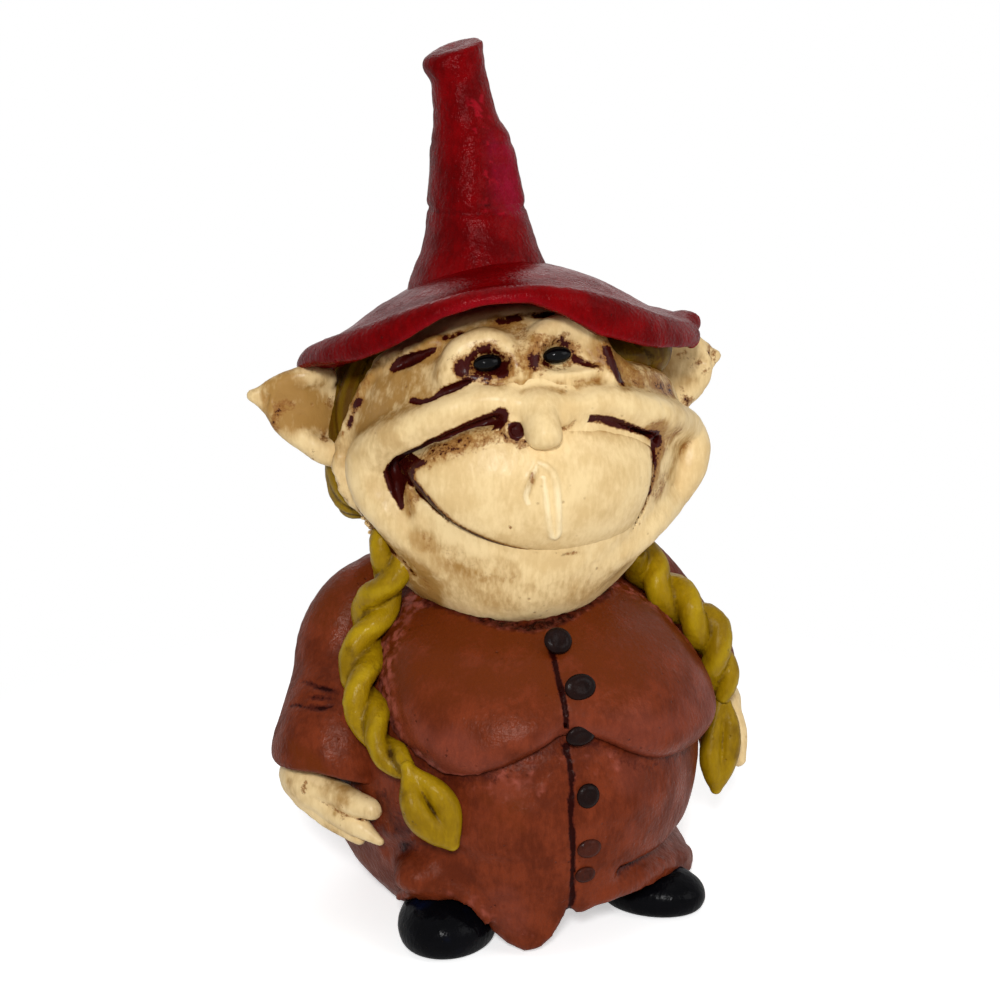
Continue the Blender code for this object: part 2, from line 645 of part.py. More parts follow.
# rise of each tip above its root, as a share of the ear's half height
EAR_LIFT = {"right": -0.07, "left": 0.36}
upward = Vector((0, 0, EAR_HALF_HEIGHT))
for side, sign in (("right", -1), ("left", 1)):
    root = head_place(sign * 0.96, 0.20, 0.20)
    outward = HEAD @ Vector((sign, 0.08, 0))
    tip = root + outward * EAR_LENGTH + upward * EAR_LIFT[side]
    ear = pressed(side + "_ear", [
        *roll([(root + upward * 0.5, EAR_THICKNESS * 1.4), (root + outward * 0.44 * EAR_LENGTH + upward * 0.55,
                                                             EAR_THICKNESS), (tip, EAR_TIP_RADIUS)]),
        *roll([(root - upward * 0.85, EAR_THICKNESS * 1.3), (root + outward * 0.33 * EAR_LENGTH - upward,
                                                             EAR_THICKNESS), (tip, EAR_TIP_RADIUS)]),
        ball(root + outward * 0.22 * EAR_LENGTH, (0.45 * EAR_LENGTH, EAR_THICKNESS, EAR_HALF_HEIGHT)),
    ], SKIN_CREAM, grain=1.4, triangles=220)
    hollow = root + outward * 0.44 * EAR_LENGTH + HEAD @ Vector((0, -1.65 * EAR_THICKNESS, 0)) - upward * 0.28
    bowl = ball(hollow, (0.39 * EAR_LENGTH, 1.1 * EAR_THICKNESS, 0.64 * EAR_HALF_HEIGHT), segments=12, rings=8)
    cut(ear, new_cutter(side + "_ear_bowl", bowl))
    seat(ear, hair, face)


# The hat: a drooping brim and a stepped, leaning crown with a knobbed tip

BRIM_MIDDLE = Vector((2.6, -0.8))
# rise as a share of the crown's height, offset to the left and back as shares of its lean, and radius as a share of
# the way from the tip's to the foot's
CROWN_STATIONS = [(-0.119, -0.27, 0.08, 1.09), (-0.056, -0.28, 0.11, 0.96), (0.006, -0.26, 0.14, 0.84),
                  (0.11, -0.27, 0.23, 0.68), (0.215, -0.31, 0.31, 0.56), (0.306, -0.34, 0.41, 0.51),
                  (0.433, -0.36, 0.5, 0.43), (0.548, -0.44, 0.6, 0.34), (0.623, -0.54, 0.66, 0.2),
                  (0.715, -0.63, 0.71, 0.1), (0.86, -0.77, 0.8, 0.02), (1.006, -0.91, 0.87, 0.02)]
# thickness by how far across, in shares of the half width and of the full thickness
BRIM_SWELL = [(-1.2, 0.5), (-0.94, 0.57), (-0.77, 0.82), (-0.6, 0.73), (-0.43, 0.49), (-0.23, 0.40), (-0.04, 0.44),
              (0.11, 0.67), (0.30, 1.0), (0.53, 1.0), (0.81, 0.8), (1.2, 0.6)]


def brim_height(x, y):
    """Height of the brim's upper skin above the middle of the head, which droops to both sides and behind."""
    side = (x - BRIM_MIDDLE.x) / BRIM_HALF_WIDTH
    back = (y - BRIM_MIDDLE.y) / BRIM_HALF_DEPTH
    droop = SIDE_DROOP * side ** 2 - SIDE_FLARE * side ** 4 + BACK_TILT * back + BACK_DROOP * back ** 2
    return BRIM_RISE + 0.04 * BRIM_HALF_WIDTH / 1.5 * side - droop + BRIM_TWIST * side * back


def make_brim():
    mesh = ball((0, 0, 0), (BRIM_HALF_WIDTH, BRIM_HALF_DEPTH, 1), segments=28, rings=9)
    work = bmesh.new()
    work.from_mesh(mesh)
    for vertex in work.verts:
        x, y = vertex.co.x / MM, vertex.co.y / MM
        reach = math.hypot(x / BRIM_HALF_WIDTH, y / BRIM_HALF_DEPTH)
        swell = min(1.0, 1.9 * max(0.0, 1 - reach * reach) ** 0.25)
        side = 0 if abs(vertex.co.z) < 1e-9 else math.copysign(1, vertex.co.z)
        x, y = x + BRIM_MIDDLE.x, y + BRIM_MIDDLE.y
        thickness = BRIM_THICKNESS * between(BRIM_SWELL, (x - BRIM_MIDDLE.x) / BRIM_HALF_WIDTH)
        height = brim_height(x, y) + thickness / 2 * (side * swell - 1)
        vertex.co = (HEAD @ Vector((x, y, HEAD_MIDDLE.z + height))) * MM
    work.to_mesh(mesh)
    work.free()
    return new_piece("hat_brim", mesh, HAT_RED)


brim = make_brim()
seat(brim, hair, face, bpy.data.objects["right_ear"], bpy.data.objects["left_ear"])
crown_stations = []
for share, to_left, to_back, fullness in CROWN_STATIONS:
    height = HEAD_MIDDLE.z + BRIM_RISE - CROWN_SINK + 1.5 + share * CROWN_HEIGHT
    radius = CROWN_TIP_RADIUS + (CROWN_FOOT_RADIUS - CROWN_TIP_RADIUS) * fullness
    crown_stations.append((HEAD @ Vector((to_left * CROWN_LEAN, to_back * CROWN_LEAN, height)), radius))
top = crown_stations[-1][0]
crown = pressed("hat_crown", [
    *roll(crown_stations),
    ball(top + Vector((-0.68, -0.05, -0.38)) * CROWN_TIP_RADIUS, (KNOB_RADIUS, KNOB_RADIUS * 1.4, KNOB_RADIUS)),
], HAT_RED, grain=1.3, triangles=400, smoothing=2)
tilt = Matrix.Rotation(-math.radians(CROWN_TOP_TILT), 4, "Y")
sky = bmesh.new()
bmesh.ops.create_cube(sky, size=1, matrix=Matrix.Scale(MM, 4) @ Matrix.Translation(top + Vector((0, 0, 1.6))) @ tilt
                      @ Matrix.Translation((0, 0, 20)) @ Matrix.Diagonal((60, 60, 40, 1)))
sky_mesh = bpy.data.meshes.new("above_crown")
sky.to_mesh(sky_mesh)
sky.free()
shaped(crown, new_cutter("above_crown", sky_mesh))
seat(crown, brim, hair)


# The sleeves hang from the shoulders beside the coat and widen to a hollow cuff

# places in shares of the coat's sizes, and widths in shares of the cuff radius
SLEEVES = {
    "right": [((-0.607, 0.054, 0.914), 0.47), ((-0.733, 0.036, 0.859), 0.57), ((-0.827, 0.009, 0.765), 0.67),
                  ((-0.863, -0.054, 0.667), 0.72), ((-0.903, -0.144, 0.574), 0.87),
                  ((-0.93, -0.191, 0.494), 0.99), ((-0.93, -0.209, 0.42), 1.01)],
    "left": [((0.685, 0.054, 0.901), 0.66), ((0.809, 0.063, 0.852), 0.78), ((0.933, 0.063, 0.753), 0.86),
                 ((1.022, 0.036, 0.654), 0.94), ((1.09, 0.0, 0.574), 1.0), ((1.101, -0.018, 0.506), 1.0)],
}
# how far the cut under each cuff falls to the figure's left and to the back, and its height, in shares of the coat's
CUFF_CUTS = {"right": (0.30, 0.06, (-1.10, -0.216, 0.474)), "left": (-0.16, -0.24, (1.09, -0.036, 0.506))}
sleeves = {}
for side, cuts in CUFF_CUTS.items():
    stations = [(coat_share(*place), share * CUFF_RADIUS[side]) for place, share in SLEEVES[side]]
    sleeve = pressed(side + "_sleeve", roll(stations), COAT_BRICK, grain=1.9, triangles=240)
    fall_left, fall_back, cut_place = cuts
    down = Vector((-fall_left, -fall_back, -1)).normalized()
    face_down = Vector((0, 0, 1)).rotation_difference(down).to_matrix().to_4x4()
    below = bmesh.new()
    bmesh.ops.create_cube(below, size=1, matrix=Matrix.Scale(MM, 4) @ Matrix.Translation(coat_share(*cut_place))
                          @ face_down @ Matrix.Translation((0, 0, 30)) @ Matrix.Diagonal((90, 90, 60, 1)))
    below_mesh = bpy.data.meshes.new(side + "_below_cuff")
    below.to_mesh(below_mesh)
    below.free()
    shaped(sleeve, new_cutter(side + "_below_cuff", below_mesh))
    mouth = coat_share(*cut_place) + CUFF_MOUTHS[side]
    cuff = new_cutter(side + "_cuff", ball(mouth, (CUFF_RADIUS[side] * 0.74,) * 2 + (CUFF_DEPTH + 2,), segments=16,
                                           rings=10))
    cut(sleeve, cuff)
    sleeves[side] = seat(sleeve, coat, bust, hair, face)


# The hands: a palm under the cuff, with the fingers laid along the coat

PALMS = {"right": (-0.989, -0.18, 0.395), "left": (1.19, -0.108, 0.457)}
# places along each finger, in shares of the coat's sizes, and shares of the finger radius there
FINGERS = {
    "right": [
        [((-0.989, -0.252, 0.432), 1.1), ((-0.876, -0.378, 0.42), 1.0), ((-0.764, -0.468, 0.389), 0.8)],
        [((-1.01, -0.252, 0.383), 1.1), ((-0.899, -0.396, 0.364), 0.95), ((-0.787, -0.505, 0.333), 0.8)],
        [((-1.01, -0.216, 0.346), 1.0), ((-0.899, -0.378, 0.315), 0.9), ((-0.787, -0.486, 0.284), 0.75)],
        [((-0.989, -0.18, 0.321), 0.95), ((-0.876, -0.324, 0.278), 0.85), ((-0.787, -0.432, 0.247), 0.75)],
    ],
    "left": [
        [((1.3, -0.144, 0.481), 1.0), ((1.29, -0.234, 0.42), 0.95), ((1.24, -0.288, 0.333), 0.8)],
        [((1.21, -0.162, 0.469), 1.0), ((1.21, -0.234, 0.395), 0.95), ((1.17, -0.27, 0.309), 0.8)],
        [((1.12, -0.144, 0.457), 1.0), ((1.12, -0.216, 0.383), 0.9), ((1.09, -0.252, 0.309), 0.75)],
    ],
}
hands = {}
for side, palm in PALMS.items():
    masses = [ball(coat_share(*palm), PALM_RADII, segments=20, rings=12)]
    for finger in FINGERS[side]:
        masses += roll([(coat_share(*place), share * FINGER_RADIUS) for place, share in finger])
    hand = pressed(side + "_hand", masses, SKIN_CREAM, grain=0.9, triangles=300, smoothing=2)
    hands[side] = seat(hand, coat, bust, sleeves[side])


# The shoes: round toes with a flat sole, under the hem

for side, (across, ahead) in SHOE_PLACES.items():
    place = coat_share(across, ahead, 0) + Vector((0, 0, SHOE_HEIGHT * 0.34))
    radii = (SHOE_HALF_WIDTH, SHOE_HALF_LENGTH, SHOE_HEIGHT * 0.66)
    shoe = new_piece(side + "_shoe", ball(place, radii, tilt=(0, 0, SHOE_TURNS[side]), segments=16, rings=9),
                     SHOE_BLACK)
    seat(cut(shoe, GROUND), coat)


# The braids: two thick strands wound round each other, with a leaf-shaped tuft below the tie

# where each braid leaves the hair, in shares of the head, and then places in shares of the coat's sizes
BRAID_STARTS = {"right": (-0.76, -0.25, -0.68), "left": (0.924, -0.25, -0.765)}
BRAIDS = {
    "right": [(-0.643, -0.303, 1.052), (-0.672, -0.288, 0.989), (-0.724, -0.261, 0.92),
              (-0.775, -0.27, 0.847), (-0.825, -0.324, 0.789), (-0.863, -0.396, 0.73),
              (-0.861, -0.468, 0.675), (-0.845, -0.541, 0.627), (-0.816, -0.622, 0.589),
              (-0.769, -0.699, 0.563), (-0.739, -0.726, 0.551)],
    "left": [(0.793, -0.216, 0.909), (0.87, -0.279, 0.856), (0.966, -0.321, 0.796), (1.056, -0.339, 0.741),
             (1.101, -0.342, 0.662), (1.142, -0.335, 0.585), (1.153, -0.332, 0.531)],
}
# places in shares of the coat's sizes, and shares of the tuft radius there
TUFTS = {
    "right": [((-0.733, -0.775, 0.536), 0.5), ((-0.706, -0.814, 0.506), 0.82),
              ((-0.667, -0.841, 0.464), 1.08), ((-0.625, -0.859, 0.415), 0.98),
              ((-0.578, -0.87, 0.37), 0.4)],
    "left": [((1.142, -0.342, 0.501), 0.48), ((1.128, -0.36, 0.444), 0.68), ((1.11, -0.382, 0.378), 0.88),
             ((1.097, -0.393, 0.314), 0.84), ((1.083, -0.396, 0.264), 0.32)],
}
START_TURNS = {"right": 0.1, "left": 0.4}


def even_path(path, count):
    """Evenly spaced points on a smooth curve through the path's stations, and the curve's length."""
    points = [Vector(p) for p in path]
    ends = [points[0] * 2 - points[1]] + points + [points[-1] * 2 - points[-2]]
    dense = []
    for a, b, c, d in zip(ends, ends[1:], ends[2:], ends[3:]):
        for i in range(12):
            t = i / 12
            dense.append(0.5 * (2 * b + (c - a) * t + (2 * a - 5 * b + 4 * c - d) * t * t
                                + (3 * b - a - 3 * c + d) * t * t * t))
    dense.append(points[-1])
    lengths = [0.0]
    for p, q in zip(dense, dense[1:]):
        lengths.append(lengths[-1] + (q - p).length)
    even = []
    for i in range(count):
        reach = lengths[-1] * i / (count - 1)
        k = min(max(j for j in range(len(lengths)) if lengths[j] <= reach + 1e-9), len(dense) - 2)
        part = (reach - lengths[k]) / max(lengths[k + 1] - lengths[k], 1e-9)
        even.append(dense[k].lerp(dense[k + 1], part))
    return even, lengths[-1]


def wound(path, start_turn):
    """Masses of two strands wound round the path, thinner at both ends."""
    points, length = even_path(path, 20)
    last = len(points) - 1
    masses = []
    for strand in (0, 0.5):
        stations = []
        for i, point in enumerate(points):
            along = (points[min(i + 1, last)] - points[max(i - 1, 0)]).normalized()
            across = along.cross(Vector((0, -1, 0))).normalized()
            outward = across.cross(along)
            angle = 2 * math.pi * (start_turn + strand + length / TURN_LENGTH * i / last)
            taper = min(1.0, 0.72 + 0.4 * min(i, last - i) / 3)
            spot = point + (across * math.cos(angle) + outward * math.sin(angle)) * STRAND_ORBIT * taper
            stations.append((spot, STRAND_RADIUS * taper))
        masses += roll(stations)
    return masses


for side, start_turn in START_TURNS.items():
    path = [head_place(*BRAID_STARTS[side])] + [coat_share(*place) for place in BRAIDS[side]]
    braid = pressed(side + "_braid", wound(path, start_turn), BRAID_YELLOW, grain=1.0, triangles=540, smoothing=1)
    seat(braid, coat, bust, hair, face, sleeves[side], hands[side])
    stations = [(coat_share(*place), swell * TUFT_RADIUS) for place, swell in TUFTS[side]]
    tuft = pressed(side + "_braid_tuft", roll(stations), BRAID_YELLOW, grain=1.0, triangles=160, smoothing=1)
    groove = [(place + Vector((0, -0.95 * radius, 0)), max(0.3, 0.22 * radius)) for place, radius in stations[1:]]
    cut(tuft, new_cutter(side + "_tuft_groove", limb(groove, steps=2, sides=1)))
    seat(tuft, braid, coat, bust, sleeves[side], hands[side])


# The buttons: pills pressed on beside the front seam

# x, height as a share of the coat's, and size as a share of the button radius
BUTTONS = [(0.8, 0.880, 1.1), (3.1, 0.776, 1.2), (2.4, 0.648, 1.15), (3.5, 0.482, 0.98), (3.6, 0.331, 0.94),
           (2.9, 0.252, 0.84)]
for number, (x, share, size) in enumerate(BUTTONS, 1):
    spot, normal = front_of(x, share * COAT_HEIGHT, coat, bust)
    frame = Matrix.Translation(spot) @ Vector((0, 0, 1)).rotation_difference(normal).to_matrix().to_4x4()
    radius = BUTTON_RADIUS * size
    pill = ball((0, 0, 0.2), (radius, radius, BUTTON_HEIGHT), segments=12, rings=6, frame=frame)
    seat(new_piece("button_%d" % number, pill, BUTTON_DARK), coat, bust, face)


# The front seam, pressed into the bust and into the coat beside the buttons

# how far across in millimetres, and how far up in shares of the coat's height
SEAM_ON_BUST = [(-0.6, 0.85), (-0.9, 0.79), (-1.0, 0.73), (-0.8, 0.68), (-0.5, 0.645)]
SEAM_ON_COAT = [(-0.4, 0.66), (-0.2, 0.60), (0.1, 0.53), (-0.6, 0.43), (-0.2, 0.35), (0.1, 0.26), (0.3, 0.18)]
for base, stations in ((bust, SEAM_ON_BUST), (coat, SEAM_ON_COAT)):
    inward = Vector((0, SEAM_WIDTH / 2 - SEAM_DEPTH, 0))
    spots = [front_of(x, share * COAT_HEIGHT, base)[0] for x, share in stations]
    line = [(spot + inward, SEAM_WIDTH / 2) for spot in spots if spot is not None]
    below = line[-1][0] - Vector((0, 2 * SEAM_DEPTH, 3 * SEAM_WIDTH))
    cut(base, new_cutter(base.name + "_seam", limb([*line, (below, SEAM_WIDTH / 2)], steps=2, sides=0)))
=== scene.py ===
"""Painted looks of a folk ornament: a grinning goblin woman in a red hat, cast and brushed by hand.

Every visible mass is modelled as clay: smooth forms are joined and pressed into a block, the block's skin
becomes a mesh, and the hollows it finds in itself carry the dark glaze that a painter would wipe into them.
The larger hollows also carry painted shade, and many bulges and ridges carry a painted highlight.
All sizes in this file are millimetres in the figure's own frame: +Z is up and the face looks along -Y.
"""

import logging
import math
from collections.abc import Callable, Sequence
from dataclasses import dataclass, field, replace
from enum import Enum
from functools import cache

import bpy
import numpy as np
from mathutils import Matrix, Vector

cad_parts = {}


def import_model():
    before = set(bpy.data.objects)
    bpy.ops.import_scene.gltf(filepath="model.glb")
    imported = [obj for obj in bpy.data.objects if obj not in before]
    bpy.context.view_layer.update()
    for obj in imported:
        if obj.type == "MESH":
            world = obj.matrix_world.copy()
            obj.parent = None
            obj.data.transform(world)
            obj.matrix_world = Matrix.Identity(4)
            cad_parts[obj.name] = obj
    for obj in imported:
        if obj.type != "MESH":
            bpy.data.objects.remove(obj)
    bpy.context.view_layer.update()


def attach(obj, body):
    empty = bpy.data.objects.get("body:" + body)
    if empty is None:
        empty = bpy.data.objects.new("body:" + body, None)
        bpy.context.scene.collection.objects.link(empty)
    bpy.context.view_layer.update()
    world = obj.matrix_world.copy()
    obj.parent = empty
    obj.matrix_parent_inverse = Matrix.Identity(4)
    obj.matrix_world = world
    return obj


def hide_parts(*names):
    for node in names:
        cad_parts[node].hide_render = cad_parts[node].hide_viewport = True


MM = 0.001  # metres in a millimetre
FAR = 40.0  # distance that stands for empty space
FILLET_ROOM = 6.0  # grid kept round a form, for the fillets that join it
THINNEST = 0.05  # least half width of a curve
STRIDE = 0.8  # share of its gap to the skin that a point moves at a time
SETTLE_REACH = 5.0  # a curve's point further off than this stays where it is
MOST_GLAZE = 2.0  # highest value of a map
SMALL_HOLLOW, LARGE_HOLLOW = 1.6, 4.5  # small hollows take dark glaze and bulges a painted highlight; large hollows take painted shade
MARKS = ("wash", "highlight_and_pale", "tint")  # the maps that the paint reads
GRAIN_PRIMES = (73856093, 19349663, 83492791, 2654435761)
LOG = logging.getLogger("goblin")

Place = tuple[float, float, float]
Station = tuple[Place, float]
Path = Sequence[Station]
Drawing = Sequence[tuple[float, float]]
Colour = tuple[int, int, int]
Grid = tuple[np.ndarray, np.ndarray, np.ndarray]


class Side(Enum):
    """The figure's own right and left; the value is the sign of X."""

    RIGHT = -1
    LEFT = 1

    @property
    def word(self) -> str:
        """The side's name as the CAD nodes spell it."""
        return self.name.lower()


# Curves and noise


def between(a: np.ndarray, b: np.ndarray, c: np.ndarray, d: np.ndarray, t: float) -> np.ndarray:
    """A place between b and c on the smooth curve through a, b, c and d."""
    return 0.5 * (2 * b + (c - a) * t + (2 * a - 5 * b + 4 * c - d) * t * t
                  + (3 * b - a - 3 * c + d) * t ** 3)


def smooth_path(stations: Path, steps: int = 5) -> tuple[np.ndarray, np.ndarray]:
    """Runs a smooth curve through stations.

    Args:
        stations: places and the half width wanted at each.
        steps: straight pieces between two stations.

    Returns:
        The curve's places, one per row, and its half widths.
    """
    table = np.array([[*place, width] for place, width in stations], dtype=float)
    ends = np.vstack([2 * table[0] - table[1], table, 2 * table[-1] - table[-2]])
    made = []
    for a, b, c, d in zip(ends, ends[1:], ends[2:], ends[3:]):
        made += [between(a, b, c, d, i / steps) for i in range(steps)]
    made.append(table[-1])
    whole = np.array(made)
    return whole[:, :3], np.maximum(whole[:, 3], THINNEST)


def round_outline(corners: Drawing, steps: int = 4) -> list[tuple[float, float]]:
    """Rounds a closed outline by a smooth curve through its corners.

    Args:
        corners: the outline's corners in order.
        steps: straight pieces between two corners.

    Returns:
        The finer outline.
    """
    ring = [np.array(corner, dtype=float) for corner in corners]
    made = []
    for i in range(len(ring)):
        a, b, c, d = (ring[(i + k) % len(ring)] for k in (-1, 0, 1, 2))
        made += [tuple(between(a, b, c, d, j / steps).tolist()) for j in range(steps)]
    return made


def grain(points: np.ndarray, size: float, seed: int) -> np.ndarray:
    """Smooth random values between -1 and 1.

    Args:
        points: places, one per row.
        size: distance over which the value changes.
        seed: number that picks the pattern.

    Returns:
        One value per place.
    """
    spot = points / size
    cell = np.floor(spot).astype(np.int64)
    part = spot - cell
    part = part * part * (3 - 2 * part)
    total = np.zeros(len(points))
    for corner in range(8):
        step = np.array([corner & 1, corner >> 1 & 1, corner >> 2 & 1])
        x, y, z = (near * prime for near, prime in zip((cell + step).T, GRAIN_PRIMES))
        mixed = x ^ y ^ z ^ seed * GRAIN_PRIMES[3]
        mixed = (mixed ^ (mixed >> 13)) * 1274126177 & 0xFFFFFFFF
        mixed = (mixed ^ (mixed >> 16)) & 0xFFFF
        share = np.prod(np.where(step == 1, part, 1 - part), axis=1)
        total += share * (mixed / 32767.5 - 1)
    return total


def rough(points: np.ndarray, size: float, seed: int) -> np.ndarray:
    """Three layers of grain, each half as large and half as strong as the last."""
    return (grain(points, size, seed) + 0.5 * grain(points, size / 2, seed + 1)
            + 0.25 * grain(points, size / 4, seed + 2)) / 1.4


def fade(values: np.ndarray, low: float, high: float) -> np.ndarray:
    """Rises smoothly from 0 at low to 1 at high."""
    share = np.clip((values - low) / (high - low), 0, 1)
    return share * share * (3 - 2 * share)


def patchy(points: np.ndarray, size: float, seed: int, low: float, high: float) -> np.ndarray:
    """Patches of 1 on 0, where the grain of this size and seed rises from low to high."""
    return fade(rough(points, size, seed), low, high)


def soft_min(a: np.ndarray, b: np.ndarray, blend: float) -> np.ndarray:
    """The smaller of two distances, with a fillet of about the blend's size."""
    if blend <= 0:
        return np.minimum(a, b)
    gap = np.maximum(blend - np.abs(a - b), 0)
    return np.minimum(a, b) - gap * gap / (4 * blend)


def soft_max(a: np.ndarray, b: np.ndarray, blend: float) -> np.ndarray:
    """The larger of two distances, with its edge rounded."""
    return -soft_min(-a, -b, blend)


def spread(axes: Grid) -> Grid:
    """A grid's axes, shaped so that they can be reckoned with together."""
    return axes[0][:, None, None], axes[1][None, :, None], axes[2][None, None, :]


def stretch(axis: np.ndarray, low: float, high: float) -> slice:
    """The part of a grid's axis between two values."""
    return slice(int(np.searchsorted(axis, low)), int(np.searchsorted(axis, high)))


# Forms: each is a function from grid axes to signed distance, with the box that it fills


@dataclass(frozen=True)
class Form:
    """A solid shape known by its signed distance, and the box round it."""

    low: np.ndarray
    high: np.ndarray
    distance: Callable[[Grid], np.ndarray]


def turn_matrix(tilt: Place) -> np.ndarray:
    """Rotation by degrees about X, then Y, then Z."""
    turn = Matrix.Rotation(math.radians(tilt[2]), 3, "Z") @ Matrix.Rotation(math.radians(tilt[1]), 3, "Y")
    return np.array(turn @ Matrix.Rotation(math.radians(tilt[0]), 3, "X"))


def ball(centre: Place, radii: Place, tilt: Place = (0, 0, 0)) -> Form:
    """A squashed ball.

    Args:
        centre: its middle.
        radii: its three half sizes.
        tilt: degrees that it turns about X, Y and Z.

    Returns:
        The form.
    """
    middle, half = np.array(centre, dtype=float), np.array(radii, dtype=float)
    turn = turn_matrix(tilt)
    reach = np.sqrt(((turn * half) ** 2).sum(axis=1))

    def distance(axes: Grid) -> np.ndarray:
        """Signed distance from the ball's skin."""
        x, y, z = (axis - start for axis, start in zip(spread(axes), middle))
        near, far = 0, 0
        for column in range(3):
            along = (x * turn[0, column] + y * turn[1, column] + z * turn[2, column]) / half[column]
            near = near + along * along
            far = far + (along / half[column]) ** 2
        near, far = np.sqrt(near), np.sqrt(far)
        return near * (near - 1) / np.maximum(far, 1e-6)

    return Form(middle - reach, middle + reach, distance)


def roll(stations: Path, steps: int = 5, flat: Place = (1, 1, 1), swell: float = 0) -> Form:
    """A roll of clay that follows a smooth curve.

    Args:
        stations: places on its middle line and its half width at each.
        steps: straight pieces between two stations.
        flat: how much thinner it is along X, Y and Z.
        swell: amount added to every half width.

    Returns:
        The form.
    """
    points, widths = smooth_path(stations, steps)
    widths = widths + swell
    squash = np.array(flat, dtype=float)
    most = widths.max()

    def distance(axes: Grid) -> np.ndarray:
        """Signed distance from the roll's skin."""
        out = np.full([len(axis) for axis in axes], FAR, dtype=np.float32)
        for a, b, wide, wider in zip(points, points[1:], widths, widths[1:]):
            reach = max(wide, wider) + FILLET_ROOM + 1
            spot = []
            for axis, near, far in zip(axes, np.minimum(a, b), np.maximum(a, b)):
                spot.append(stretch(axis, near - reach, far + reach))
            if any(part.start >= part.stop for part in spot):
                continue
            x, y, z = spread([(axis[part] - start) * thin
                              for axis, part, start, thin in zip(axes, spot, a, squash)])
            run = (b - a) * squash
            share = np.clip((x * run[0] + y * run[1] + z * run[2]) / max(run @ run, 1e-9), 0, 1)
            away = np.sqrt((x - share * run[0]) ** 2 + (y - share * run[1]) ** 2 + (z - share * run[2]) ** 2)
            away = (away - wide - (wider - wide) * share) / squash.max()
            out[tuple(spot)] = np.minimum(out[tuple(spot)], away)
        return out

    return Form(points.min(axis=0) - most, points.max(axis=0) + most, distance)


def outline(corners: Drawing, depth: tuple[float, float] = (-90, 90),
            lean: float = 0, pivot: float = 0) -> Form:
    """A slab with a drawn outline, as seen from the front.

    Args:
        corners: the outline as X and Z.
        depth: where the slab starts and ends along Y.
        lean: how far the outline shifts along X for each step along Y.
        pivot: the Y at which it isn't shifted.

    Returns:
        The form.
    """
    fine = round_outline(corners)
    low = np.array([min(x for x, _ in fine), depth[0], min(z for _, z in fine)])
    high = np.array([max(x for x, _ in fine), depth[1], max(z for _, z in fine)])

    def flat_distance(across: np.ndarray, up: np.ndarray) -> np.ndarray:
        """Signed distance from the outline in its own plane."""
        best = np.full(np.broadcast(across, up).shape, FAR * FAR)
        inside = np.zeros(best.shape, dtype=bool)
        for (ax, az), (bx, bz) in zip(fine, fine[1:] + fine[:1]):
            ex, ez = bx - ax, bz - az
            px, pz = across - ax, up - az
            share = np.clip((px * ex + pz * ez) / max(ex * ex + ez * ez, 1e-9), 0, 1)
            best = np.minimum(best, (px - share * ex) ** 2 + (pz - share * ez) ** 2)
            if abs(ez) > 1e-9:
                inside ^= ((az > up) != (bz > up)) & (px < ex * pz / ez)
        return np.where(inside, -1, 1) * np.sqrt(best)

    def distance(axes: Grid) -> np.ndarray:
        """Signed distance from the slab's sides."""
        if not lean:
            side = flat_distance(axes[0][:, None], axes[2][None, :])[:, None, :]
        else:
            wide = np.arange(axes[0][0] - 60, axes[0][-1] + 60, 0.5)
            sheet = flat_distance(wide[:, None], axes[2][None, :])
            shifted = axes[0][:, None] - lean * (axes[1][None, :] - pivot)
            spot = np.clip(((shifted - wide[0]) / 0.5).astype(int), 0, len(wide) - 2)
            part = ((shifted - wide[0]) / 0.5 - spot)[:, :, None]
            side = sheet[spot] * (1 - part) + sheet[spot + 1] * part
        y = axes[1][None, :, None]
        return np.maximum(side, np.maximum(depth[0] - y, y - depth[1]))

    return Form(low, high, distance)


# Clay


@dataclass(frozen=True)
class Stroke:
    """One stroke of glaze; a few are painted shade.

    Attributes:
        path: places along it and its half width at each.
        reach: how far it fades out beyond that.
        wash: how much dark glaze it leaves; on a few strokes this is painted shade.
        tint: how much brown colour it leaves; on a few strokes this is painted shade.
        breaks: how far it is broken into dabs.
    """

    path: Path
    reach: float
    wash: float
    tint: float = 0.0
    breaks: float = 0.0


def line(width: float, *places: Place) -> Path:
    """Stations of one width through places."""
    return tuple((place, width) for place in places)


def deeper(stations: Path, depth: float = 2.2, swell: float = 0.8) -> Path:
    """The same curve pushed back into the figure and widened, to reach the floor of a crease."""
    return [((x, y + depth, z), width + swell) for (x, y, z), width in stations]


def write_marks(mesh: bpy.types.Mesh, marks: dict[str, np.ndarray]) -> None:
    """Stores the maps that the paint reads on a mesh, as zeros where one is missing."""
    for mark in MARKS:
        values = np.clip(marks.get(mark, np.zeros(len(mesh.vertices))), 0, MOST_GLAZE)
        mesh.attributes.new(mark, "FLOAT", "POINT").data.foreach_set("value", values.astype(np.float32))


